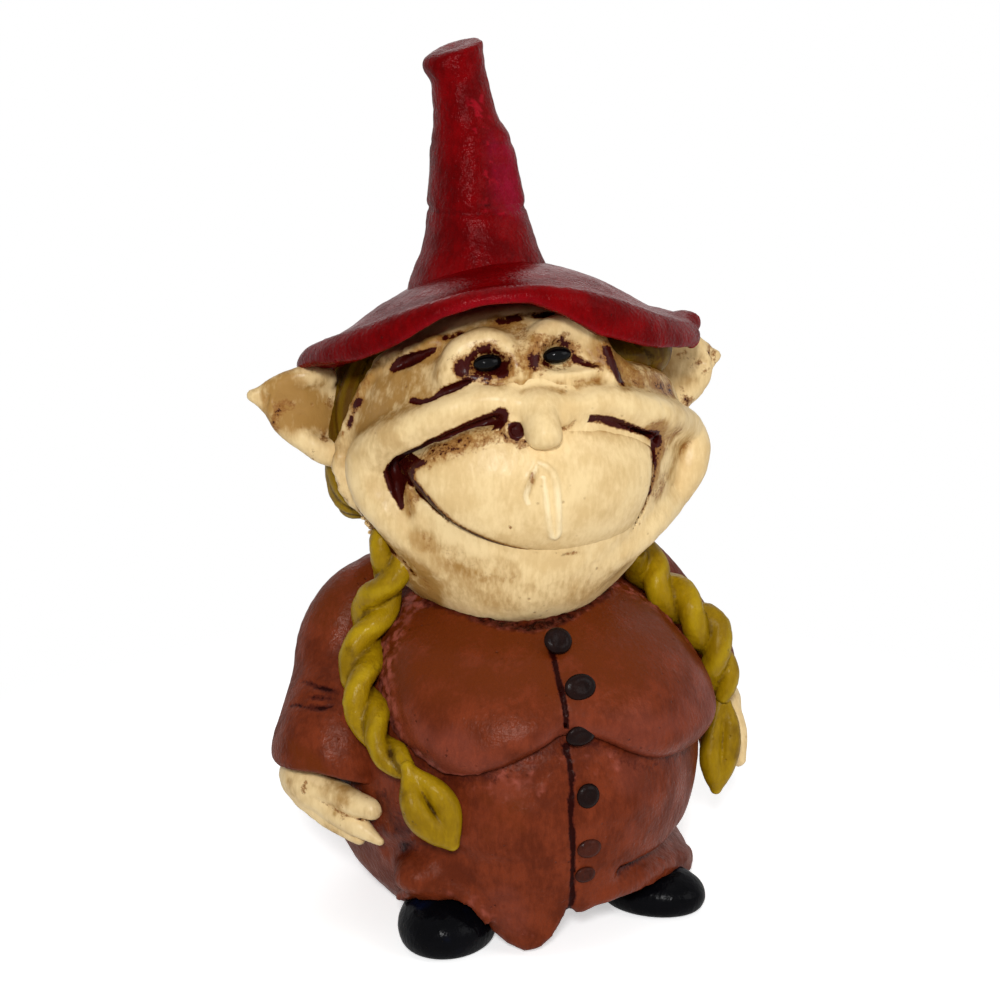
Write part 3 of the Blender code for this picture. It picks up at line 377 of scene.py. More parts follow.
@dataclass
class Cast:
    """The skin of a clay block as a mesh, with what each point carries."""

    points: np.ndarray
    normals: np.ndarray
    quads: np.ndarray
    marks: dict[str, np.ndarray] = field(default_factory=dict)

    def near(self, stations: Path, reach: float, steps: int = 4) -> np.ndarray:
        """How close each point is to a curve.

        Args:
            stations: places on the curve and a half width added to the reach.
            reach: distance at which the answer is 0.
            steps: straight pieces between two stations.

        Returns:
            1 on the curve and 0 beyond the reach.
        """
        path, widths = smooth_path(stations, steps)
        best = np.zeros(len(self.points))
        for a, b, wide in zip(path, path[1:], widths):
            run = b - a
            share = np.clip((self.points - a) @ run / max(run @ run, 1e-9), 0, 1)
            away = np.linalg.norm(self.points - a - share[:, None] * run, axis=1)
            best = np.maximum(best, 1 - np.maximum(away - wide, 0) / reach)
        return fade(best, 0, 1)

    def sunk(self, low: float, high: float) -> np.ndarray:
        """Rises from 0 to 1 where the skin gets hollow."""
        return fade(self.marks["hollow"], low, high)

    def raised(self, low: float, high: float) -> np.ndarray:
        """Rises from 0 to 1 where the skin bulges."""
        return fade(-self.marks["hollow"], low, high)

    def mark(self, name: str, values: np.ndarray) -> None:
        """Adds to one of the maps that the paint reads."""
        old = self.marks.get(name, np.zeros(len(self.points)))
        self.marks[name] = old + values

    def glaze(self, strokes: Sequence[Stroke], seed: int) -> None:
        """Brushes strokes of glaze on the skin.

        Args:
            strokes: the strokes.
            seed: number that picks where they break up.
        """
        broken = fade(rough(self.points, 2.4, seed), -0.35, 0.35)
        for stroke in strokes:
            shown = self.near(stroke.path, stroke.reach) * (1 - stroke.breaks * (1 - broken))
            self.mark("wash", shown * stroke.wash)
            self.mark("tint", shown * stroke.tint)

    def push(self, amount: np.ndarray) -> None:
        """Moves every point along its normal."""
        self.points = self.points + self.normals * amount[:, None]

    def show(self, name: str, paint: "Paint", slot: str) -> None:
        """Builds the object and puts it on the figure, in the place of the CAD node of its name.

        Args:
            name: the node's name.
            paint: the finish.
            slot: a material slot name, passed on to ride, which does not use it.
        """
        mesh = bpy.data.meshes.new(name)
        mesh.vertices.add(len(self.points))
        mesh.vertices.foreach_set("co", (self.points * MM).astype(np.float32).ravel())
        mesh.loops.add(self.quads.size)
        mesh.loops.foreach_set("vertex_index", self.quads.astype(np.int32).ravel())
        mesh.polygons.add(len(self.quads))
        mesh.polygons.foreach_set("loop_start", np.arange(0, self.quads.size, 4, dtype=np.int32))
        mesh.polygons.foreach_set("use_smooth", np.ones(len(self.quads), dtype=bool))
        mesh.update(calc_edges=True)
        write_marks(mesh, self.marks)
        mesh.materials.append(paint.material())
        ride(new_object(name, mesh), slot, name)


class Clay:
    """A block of modelling clay, kept as signed distance on an even grid."""

    def __init__(self, low: Place, high: Place, step: float) -> None:
        """Starts an empty block.

        Args:
            low: its lowest corner.
            high: its highest corner.
            step: spacing of the grid.
        """
        self.step = step
        counts = [int(math.ceil((far - near) / step)) + 1 for near, far in zip(low, high)]
        self.axes: Grid = tuple(near + step * np.arange(n, dtype=np.float32)
                                for near, n in zip(low, counts))
        self.field = np.full(counts, FAR, dtype=np.float32)

    def window(self, form: Form, margin: float) -> tuple[tuple[slice, ...], Grid]:
        """The part of the grid round a form.

        Args:
            form: the form.
            margin: room left round it.

        Returns:
            The slices of that part, and its axes.
        """
        spot = tuple(stretch(axis, near - margin, far + margin)
                     for axis, near, far in zip(self.axes, form.low, form.high))
        return spot, tuple(axis[part] for axis, part in zip(self.axes, spot))

    def add(self, form: Form, blend: float = 0) -> "Clay":
        """Joins a form to the block with a fillet."""
        spot, axes = self.window(form, blend + FILLET_ROOM)
        if all(len(axis) for axis in axes):
            self.field[spot] = soft_min(self.field[spot], form.distance(axes), blend)
        return self

    def carve(self, form: Form, blend: float = 0) -> "Clay":
        """Takes a form out of the block, with rounded lips."""
        spot, axes = self.window(form, blend + FILLET_ROOM)
        if all(len(axis) for axis in axes):
            self.field[spot] = soft_max(self.field[spot], -form.distance(axes), blend)
        return self

    def keep(self, form: Form, blend: float = 0) -> "Clay":
        """Cuts away all that is outside a form."""
        return self.trim(form.distance(self.axes), blend)

    def join(self, values: np.ndarray, blend: float = 0) -> "Clay":
        """Joins a solid given as distances on this block's whole grid."""
        self.field = soft_min(self.field, values, blend).astype(np.float32)
        return self

    def trim(self, values: np.ndarray, blend: float = 0) -> "Clay":
        """Keeps only what is inside a solid given as distances on this block's whole grid."""
        self.field = soft_max(self.field, values, blend).astype(np.float32)
        return self

    def sample(self, values: np.ndarray, points: np.ndarray) -> np.ndarray:
        """Reads a grid of values between its nodes.

        Args:
            values: one value per node of the grid.
            points: places to read, one per row.

        Returns:
            The value at each place.
        """
        spot = [(points[:, i] - self.axes[i][0]) / self.step for i in range(3)]
        base = [np.clip(s.astype(int), 0, n - 2) for s, n in zip(spot, values.shape)]
        part = [np.clip(s - b, 0, 1) for s, b in zip(spot, base)]
        total = 0
        for corner in range(8):
            bits = (corner & 1, corner >> 1 & 1, corner >> 2 & 1)
            share = 1
            for bit, p in zip(bits, part):
                share = share * (p if bit else 1 - p)
            total = total + share * values[tuple(b + bit for b, bit in zip(base, bits))]
        return total

    def settle(self, stations: Path) -> Path:
        """Lays a curve on the clay's skin.

        Args:
            stations: places near the skin and the half width at each.

        Returns:
            The same stations, each moved to the nearest skin if that is close.
        """
        laid = []
        for place, width in stations:
            spot = np.array([place], dtype=float)
            for _ in range(6):
                spot = spot - self.slope(spot) * self.sample(self.field, spot)[:, None] * STRIDE
            near = np.linalg.norm(spot[0] - np.array(place)) < SETTLE_REACH
            laid.append((tuple(float(v) for v in spot[0]) if near else place, width))
        return laid

    def slope(self, points: np.ndarray) -> np.ndarray:
        """The direction out of the clay at each place."""
        sides = []
        for i in range(3):
            shift = np.zeros(3)
            shift[i] = self.step * 0.75
            sides.append(self.sample(self.field, points + shift) - self.sample(self.field, points - shift))
        away = np.stack(sides, axis=1)
        return away / np.maximum(np.linalg.norm(away, axis=1), 1e-9)[:, None]

    def hollows(self, points: np.ndarray, reach: float) -> np.ndarray:
        """How hollow the skin is.

        Args:
            points: places on the skin.
            reach: size of the hollows looked for.

        Returns:
            Above 0 in hollows and below 0 on bulges.
        """
        values = np.clip(self.field, -reach, reach)
        half = max(1, round(reach / self.step / 2))
        for axis in (0, 1, 2) * 2:
            padded = np.pad(values, [(half + 1, half) if i == axis else (0, 0) for i in range(3)],
                            mode="edge")
            run = np.cumsum(padded, axis=axis, dtype=np.float64)
            first = [slice(None)] * 3
            last = [slice(None)] * 3
            first[axis] = slice(0, -2 * half - 1)
            last[axis] = slice(2 * half + 1, None)
            values = ((run[tuple(last)] - run[tuple(first)]) / (2 * half + 1)).astype(np.float32)
        return -self.sample(values, points) / reach

    def skin(self) -> Cast:
        """Turns the block's skin into a mesh of even four-sided faces.

        Returns:
            The mesh, with its hollows marked as small and large.
        """
        values = self.field
        values[[0, -1]] = values[:, [0, -1]] = values[:, :, [0, -1]] = np.maximum(self.step, 0.1)
        inside = values < 0
        shape = np.array(values.shape)
        flat = np.array([shape[1] * shape[2], shape[2], 1])
        total = int(shape.prod())
        sums = [np.zeros(total) for _ in range(3)]
        count = np.zeros(total)
        quads = []
        for a in range(3):
            b, c = (a + 1) % 3, (a + 2) % 3
            here = [slice(None)] * 3
            ahead = [slice(None)] * 3
            here[a], ahead[a] = slice(0, -1), slice(1, None)
            nodes = np.argwhere(inside[tuple(here)] != inside[tuple(ahead)])
            step = np.zeros(3, dtype=int)
            step[a] = 1
            start, end = values[tuple(nodes.T)], values[tuple((nodes + step).T)]
            crossing = nodes.astype(float)
            crossing[:, a] += start / (start - end)
            ring = []
            for shift_b, shift_c in ((0, 0), (-1, 0), (-1, -1), (0, -1)):
                cell = nodes @ flat + shift_b * flat[b] + shift_c * flat[c]
                ring.append(cell)
                count += np.bincount(cell, minlength=total)
                for i in range(3):
                    sums[i] += np.bincount(cell, weights=crossing[:, i], minlength=total)
            ring = np.stack(ring, axis=1)
            outward = start < 0
            quads.append(np.where(outward[:, None], ring, ring[:, ::-1]))
        used = np.nonzero(count)[0]
        number = np.zeros(total, dtype=np.int64)
        number[used] = np.arange(len(used))
        points = np.stack([sums[i][used] / count[used] for i in range(3)], axis=1) * self.step
        points += np.array([axis[0] for axis in self.axes])
        faces = number[np.vstack(quads)]
        points, faces = largest_part(points, faces)
        for _ in range(2):
            normals = self.slope(points)
            gap = np.clip(self.sample(values, points), -0.4 * self.step, 0.4 * self.step)
            points = points - normals * gap[:, None] * STRIDE
        cast = Cast(points, self.slope(points), faces)
        cast.marks["hollow"] = self.hollows(points, SMALL_HOLLOW)
        cast.marks["dell"] = self.hollows(points, LARGE_HOLLOW)
        return cast


def largest_part(points: np.ndarray, faces: np.ndarray) -> tuple[np.ndarray, np.ndarray]:
    """Drops every loose crumb of a mesh but its largest part.

    Args:
        points: the mesh's places.
        faces: its faces as indices.

    Returns:
        The places and faces that stay.
    """
    label = np.arange(len(points))
    while True:
        lowest = label[faces].min(axis=1)
        new = label.copy()
        for i in range(faces.shape[1]):
            np.minimum.at(new, faces[:, i], lowest)
        new = np.minimum(new, new[new])
        if (new == label).all():
            break
        label = new
    names, counts = np.unique(label, return_counts=True)
    stay = label == names[counts.argmax()]
    number = np.cumsum(stay) - 1
    return points[stay], number[faces[stay[faces[:, 0]]]]


# Paint


def new_object(name: str, data: bpy.types.ID) -> bpy.types.Object:
    """Adds an object to the scene."""
    made = bpy.data.objects.new(name, data)
    bpy.context.scene.collection.objects.link(made)
    return made


def linear(colour: Colour) -> tuple[float, float, float, float]:
    """Turns a colour written as 0 to 255 into the numbers that a shader takes."""
    parts = [value / 255 for value in colour]
    return (*[p / 12.92 if p <= 0.04045 else ((p + 0.055) / 1.055) ** 2.4 for p in parts], 1.0)


class Wiring:
    """Short hand for putting nodes into a tree."""

    def __init__(self, tree: bpy.types.NodeTree) -> None:
        """Starts on a tree."""
        self.tree = tree

    def put(self, kind: str, inputs: dict | None = None, **settings: object) -> bpy.types.Node:
        """Adds a node.

        Args:
            kind: its type.
            inputs: values or sockets for its inputs, by name or number.
            settings: properties set on it.

        Returns:
            The node.
        """
        node = self.tree.nodes.new(kind)
        for name, value in settings.items():
            setattr(node, name, value)
        for name, value in (inputs or {}).items():
            self.feed(node, name, value)
        return node

    def feed(self, node: bpy.types.Node, name: str | int, value: object) -> None:
        """Gives an input of a node its value, or joins it to the socket that the value comes from."""
        if isinstance(value, bpy.types.NodeSocket):
            self.tree.links.new(value, node.inputs[name])
        else:
            node.inputs[name].default_value = value

    def reckon(self, operation: str, *values: object) -> bpy.types.NodeSocket:
        """Adds a Math node and gives its result."""
        return self.put("ShaderNodeMath", dict(enumerate(values)), operation=operation).outputs[0]

    def times(self, first: object, second: object) -> bpy.types.NodeSocket:
        """Multiplies two values."""
        return self.reckon("MULTIPLY", first, second)

    def plus(self, first: object, second: object) -> bpy.types.NodeSocket:
        """Adds two values."""
        return self.reckon("ADD", first, second)

    def less(self, first: object, second: object) -> bpy.types.NodeSocket:
        """Takes the second value from the first."""
        return self.reckon("SUBTRACT", first, second)

    def scaled(self, vector: object, factor: object) -> bpy.types.NodeSocket:
        """Multiplies a vector by a value."""
        return self.put("ShaderNodeVectorMath", {0: vector, "Scale": factor}, operation="SCALE").outputs[0]

    def vector(self, operation: str, first: object, second: object) -> bpy.types.NodeSocket:
        """Adds a Vector Math node of two vectors and gives its result."""
        return self.put("ShaderNodeVectorMath", {0: first, 1: second}, operation=operation).outputs[0]

    def link(self, first: bpy.types.NodeSocket, second: bpy.types.NodeSocket) -> None:
        """Joins an output to an input."""
        self.tree.links.new(first, second)

    def step(self, value: object, low: object, high: object) -> bpy.types.NodeSocket:
        """Rises smoothly from 0 at low to 1 at high."""
        node = self.put("ShaderNodeMapRange", {"Value": value, "From Min": low, "From Max": high},
                        interpolation_type="SMOOTHSTEP")
        return node.outputs["Result"]

    def noise(self, vector: object, scale: object, detail: float,
              roughness: float = 0.5) -> bpy.types.NodeSocket:
        """Adds a noise pattern and gives its value."""
        return self.put("ShaderNodeTexNoise", {"Vector": vector, "Scale": scale, "Detail": detail,
                                               "Roughness": roughness}).outputs[0]

    def mix(self, share: object, first: object, second: object) -> bpy.types.NodeSocket:
        """Mixes two colours."""
        node = self.put("ShaderNodeMix", data_type="RGBA")
        for number, value in ((0, share), (6, first), (7, second)):
            self.feed(node, number, value)
        return node.outputs[2]


def new_group(name: str, inputs: dict[str, float | None], outputs: Sequence[str]) -> tuple[
        Wiring, bpy.types.NodeInputs, bpy.types.NodeInputs]:
    """Starts a shader group.

    Args:
        name: its name.
        inputs: first value of each input by name, or None for a vector.
        outputs: names of its value outputs.

    Returns:
        Its wiring, the sockets that its inputs come from and the ones that its outputs go to.
    """
    tree = bpy.data.node_groups.new(name, "ShaderNodeTree")
    for label, value in inputs.items():
        kind = "NodeSocketVector" if value is None else "NodeSocketFloat"
        socket = tree.interface.new_socket(label, in_out="INPUT", socket_type=kind)
        if value is not None:
            socket.default_value = value
    for label in outputs:
        tree.interface.new_socket(label, in_out="OUTPUT", socket_type="NodeSocketFloat")
    wires = Wiring(tree)
    return wires, wires.put("NodeGroupInput").outputs, wires.put("NodeGroupOutput").inputs


@cache
def wash_and_shade_group() -> bpy.types.NodeTree:
    """A dark glaze wiped into hollows, and painted shade, which thin out into stipple.

    Returns:
        A group that turns the wash map into a thin layer and a deep stain, which also give painted shade.
    """
    w, given, result = new_group("wash_and_painted_shade", {"Vector": None, "Wash": 0, "Size": 1, "Breakup": 0.5},
                                 ["Film", "Deep"])
    scale = w.reckon("DIVIDE", 1.0, given["Size"])
    fine = w.noise(given["Vector"], scale, 3, 0.7)
    broad = w.noise(given["Vector"], w.times(scale, 0.3), 2)
    broken = w.plus(w.times(fine, 0.6), w.times(broad, 0.4))
    ragged = w.times(w.less(broken, 0.5), given["Breakup"])
    amount = w.plus(given["Wash"], w.times(ragged, w.step(given["Wash"], 0.02, 0.2)))
    w.link(w.step(amount, 0.16, 0.5), result["Film"])
    w.link(w.step(amount, 0.5, 0.68), result["Deep"])
    return w.tree


@cache
def brush_group() -> bpy.types.NodeTree:
    """Brushed colour that pools and thins.

    Returns:
        A group that gives the colour's tone and the height of its strokes.
    """
    w, given, result = new_group("brushed_coat", {"Vector": None, "Size": 8, "Stretch": 2.5},
                                 ["Tone", "Height"])
    long_way = w.put("ShaderNodeCombineXYZ", {"X": given["Stretch"], "Y": given["Stretch"], "Z": 1.0})
    drawn = w.vector("MULTIPLY", given["Vector"], long_way.outputs[0])
    scale = w.reckon("DIVIDE", 1.0, given["Size"])
    broad = w.noise(given["Vector"], scale, 3)
    strokes = w.noise(drawn, w.times(scale, 3), 2, 0.6)
    w.link(w.step(w.plus(w.times(broad, 0.65), w.times(strokes, 0.35)), 0.34, 0.66), result["Tone"])
    w.link(strokes, result["Height"])
    return w.tree


@cache
def pit_group() -> bpy.types.NodeTree:
    """The pin holes and pimples of a hand casting.

    Returns:
        A group that gives their height and where the pin holes are.
    """
    w, given, result = new_group("casting_pits", {"Vector": None, "Size": 1}, ["Height", "Pits"])
    scale = w.reckon("DIVIDE", 1.0, given["Size"])
    cells = w.put("ShaderNodeTexVoronoi", {"Vector": given["Vector"], "Scale": w.times(scale, 0.45)})
    strewn = w.step(w.noise(given["Vector"], w.times(scale, 0.12), 1), 0.55, 0.7)
    pits = w.times(w.less(1.0, w.step(cells.outputs["Distance"], 0.04, 0.2)), strewn)
    w.link(w.less(w.noise(given["Vector"], scale, 2, 0.6), w.times(pits, 1.6)), result["Height"])
    w.link(pits, result["Pits"])
    return w.tree


@dataclass(frozen=True)
class Paint:
    """One hand-brushed finish: a body colour, its darker tone, the glaze wiped over it, painted shade and
    highlight.

    Attributes:
        name: the material's name.
        body: the main colour.
        shade: the colour that the brush leaves where it is thin or pooled.
        lift: the paler colour of the highlight_and_pale map: painted highlight and glints, and paler
            patches.
        film: the colour of thin glaze, which also gives painted shade.
        deep: the colour of thick glaze.
        tint: the colour brushed on by the tint map; it also gives painted shade on the skin, hair and coat,
        and a painted reflection on the hat and the shoes.
        gloss: roughness of the body colour.
        glaze_gloss: roughness where the glaze lies thick.
        sheen_patch: how much the roughness wanders.
        stroke: height of brush strokes in mm.
        pits: height of the casting's grain in mm.
        grain_size: size of that grain in mm.
        wash_size: size of the glaze's broken edge in mm.
        breakup: how broken the glaze's edge is.
        tone_share: how much of the shade colour shows.
        specular: strength of reflections.
        reflection: colour of what it mirrors head on.
    """

    name: str
    body: Colour
    shade: Colour
    lift: Colour
    film: Colour
    deep: Colour
    tint: Colour = (150, 95, 45)
    gloss: float = 0.38
    glaze_gloss: float = 0.3
    sheen_patch: float = 0.12
    stroke: float = 0.12
    pits: float = 0.1
    grain_size: float = 0.9
    wash_size: float = 0.9
    breakup: float = 0.55
    tone_share: float = 0.7
    specular: float = 0.4
    reflection: tuple[float, float, float] = (1.0, 1.0, 1.0)

    @cache
    def material(self) -> bpy.types.Material:
        """Makes the material when it is first asked for."""
        made = bpy.data.materials.new(self.name)
        made.use_nodes = True
        w = Wiring(made.node_tree)
        shader = made.node_tree.nodes["Principled BSDF"]
        place = w.scaled(w.put("ShaderNodeTexCoord").outputs["Object"], 1 / MM)
        marks = {mark: w.put("ShaderNodeAttribute", attribute_name=mark).outputs["Fac"] for mark in MARKS}
        brush = w.put("ShaderNodeGroup", node_tree=brush_group())
        pit = w.put("ShaderNodeGroup", node_tree=pit_group())
        wash = w.put("ShaderNodeGroup", node_tree=wash_and_shade_group())
        for node, inputs in ((brush, {}), (pit, {"Size": self.grain_size}),
                             (wash, {"Size": self.wash_size, "Breakup": self.breakup,
                                     "Wash": marks["wash"]})):
            for label, value in {"Vector": place, **inputs}.items():
                w.feed(node, label, value)
        tone, film, deep = brush.outputs["Tone"], linear(self.film), wash.outputs["Deep"]
        colour = w.mix(w.times(tone, self.tone_share), linear(self.body), linear(self.shade))
        # the tint map lays the tint colour: brown colour in patches, and painted shade and painted
        # reflection where pieces put it
        tinted = w.times(marks["tint"], w.plus(0.55, tone))
        colour = w.mix(w.step(tinted, 0.0, 1.0), colour, linear(self.tint))
        # the highlight_and_pale map lays the lift colour: painted highlight and glints on ridges, bulges and
        # crumbs, and paler patches
        colour = w.mix(w.times(w.step(marks["highlight_and_pale"], 0.1, 1.0), 0.75), colour, linear(self.lift))
        # the thin and thick glaze, which also give painted shade
        colour = w.mix(w.times(wash.outputs["Film"], 0.85), colour, film)
        colour = w.mix(w.times(pit.outputs["Pits"], 0.5), colour, film)
        w.link(w.mix(deep, colour, linear(self.deep)), shader.inputs["Base Color"])
        rough_body = w.plus(self.gloss, w.times(w.less(tone, 0.5), self.sheen_patch))
        w.link(w.plus(rough_body, w.times(deep, self.glaze_gloss - self.gloss)), shader.inputs["Roughness"])
        height = w.plus(w.times(brush.outputs["Height"], self.stroke),
                        w.times(pit.outputs["Height"], self.pits))
        bump = w.put("ShaderNodeBump", {"Height": height, "Strength": 1.0, "Distance": MM})
        w.link(bump.outputs["Normal"], shader.inputs["Normal"])
        turned = w.put("ShaderNodeLayerWeight", {"Blend": 0.5}).outputs["Facing"]
        matt = w.reckon("MAXIMUM", w.times(deep, 0.5), w.times(w.step(turned, 0.4, 0.85), 0.92))
        w.link(w.times(w.less(1.0, matt), self.specular), shader.inputs["Specular IOR Level"])
        shader.inputs["Specular Tint"].default_value = (*self.reflection, 1.0)
        return made


MAROON = (54, 10, 6)

# skin: the tint and film colours also give painted shade in the face's broad hollows, near the lip's edges,
# along the jaw and under the chin, and lift gives painted highlight
SKIN = Paint("cream_skin", (231, 204, 152), (206, 173, 118), (246, 226, 182), (136, 88, 38), MAROON,
             tint=(162, 122, 64), gloss=0.34, glaze_gloss=0.26, stroke=0.06, pits=0.08, grain_size=1.1,
             wash_size=0.7, breakup=1.9, tone_share=0.75, specular=0.16)
# hat: the pink tint is a painted reflection on the crown's front facet, and lift gives painted highlight on
# the brim's crest and painted glints on the crown
HAT = Paint("hat_red", (116, 1, 4), (80, 0, 1), (146, 14, 28), (48, 1, 3), (28, 1, 2), tint=(134, 14, 40),
            gloss=0.24, glaze_gloss=0.24, sheen_patch=0.16, stroke=0.16, pits=0.2, grain_size=0.8,
            wash_size=1.4, tone_share=0.9, specular=0.07, reflection=(1.0, 0.4, 0.42))
# coat: the tint also gives painted shade on the bust's upper slope, film and deep give painted shade under
# the bust and beside the right hand, and lift gives painted glints and highlight
COAT = Paint("coat_terracotta", (117, 49, 25), (84, 31, 12), (156, 82, 68), (62, 17, 8), (34, 5, 3),
             tint=(98, 40, 10), gloss=0.34, glaze_gloss=0.26, sheen_patch=0.18, stroke=0.1, pits=0.14,
             grain_size=0.9, wash_size=1.1, breakup=1.2, tone_share=0.95, specular=0.08,
             reflection=(1.0, 0.78, 0.7))
# hair: the dark tint is the brim's painted shadow on the front of the hair, and lift gives painted highlight
# on strands, braids and tufts
HAIR = Paint("hair_mustard", (153, 121, 8), (124, 94, 3), (190, 160, 22), (92, 66, 3), (58, 36, 2),
             tint=(84, 54, 6), gloss=0.34, glaze_gloss=0.3, stroke=0.1, pits=0.1, grain_size=0.9,
             wash_size=0.9, breakup=0.9, tone_share=0.9, specular=0.12, reflection=(1.0, 0.94, 0.7))
# shoes: the blue tint is a painted reflection
SHOE = Paint("shoe_black", (5, 5, 7), (8, 8, 12), (20, 22, 28), (3, 3, 3), (2, 2, 2), tint=(8, 14, 34),
             gloss=0.2, glaze_gloss=0.2, sheen_patch=0.06, stroke=0.12, pits=0.05, specular=0.035)
BUTTON = Paint("button_dark", (18, 7, 6), (30, 12, 8), (66, 38, 28), (20, 6, 5), (10, 4, 3),
               tint=(66, 28, 18), gloss=0.26, glaze_gloss=0.3, stroke=0.08, pits=0.05, grain_size=0.5,
               specular=0.06)
EYE = Paint("eye_black", (3, 3, 4), (6, 6, 8), (12, 12, 15), (5, 3, 3), (3, 2, 2), gloss=0.12,
            glaze_gloss=0.12, sheen_patch=0.03, stroke=0.02, pits=0.01, specular=0.1)


# The figure

HEAD_TURN = -5.0  # degrees, to the figure's right
TURNED = (0, 0, HEAD_TURN)
COAT_MIDDLE = 1.5  # X of the coat's middle line
PARTING = 2.5  # X of the parting in the hair
HAIR_TOP = (PARTING, 6.0, 118.0)  # where all strands start
BRAID_ROOTS = {Side.RIGHT: (-33.0, -10.0, 84.0), Side.LEFT: (36.0, -10.0, 84.0)}


def ride(piece: bpy.types.Object, slot: str, *nodes: str) -> None:
    """Puts a piece on the figure's one body, in the place of CAD nodes.

    Args:
        piece: the new object.
        slot: not used.
        nodes: the CAD nodes that it stands for.
    """
    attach(piece, "root")
    if nodes:
        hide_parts(*nodes)
    LOG.info("%s: %d faces", piece.name, len(piece.data.polygons))


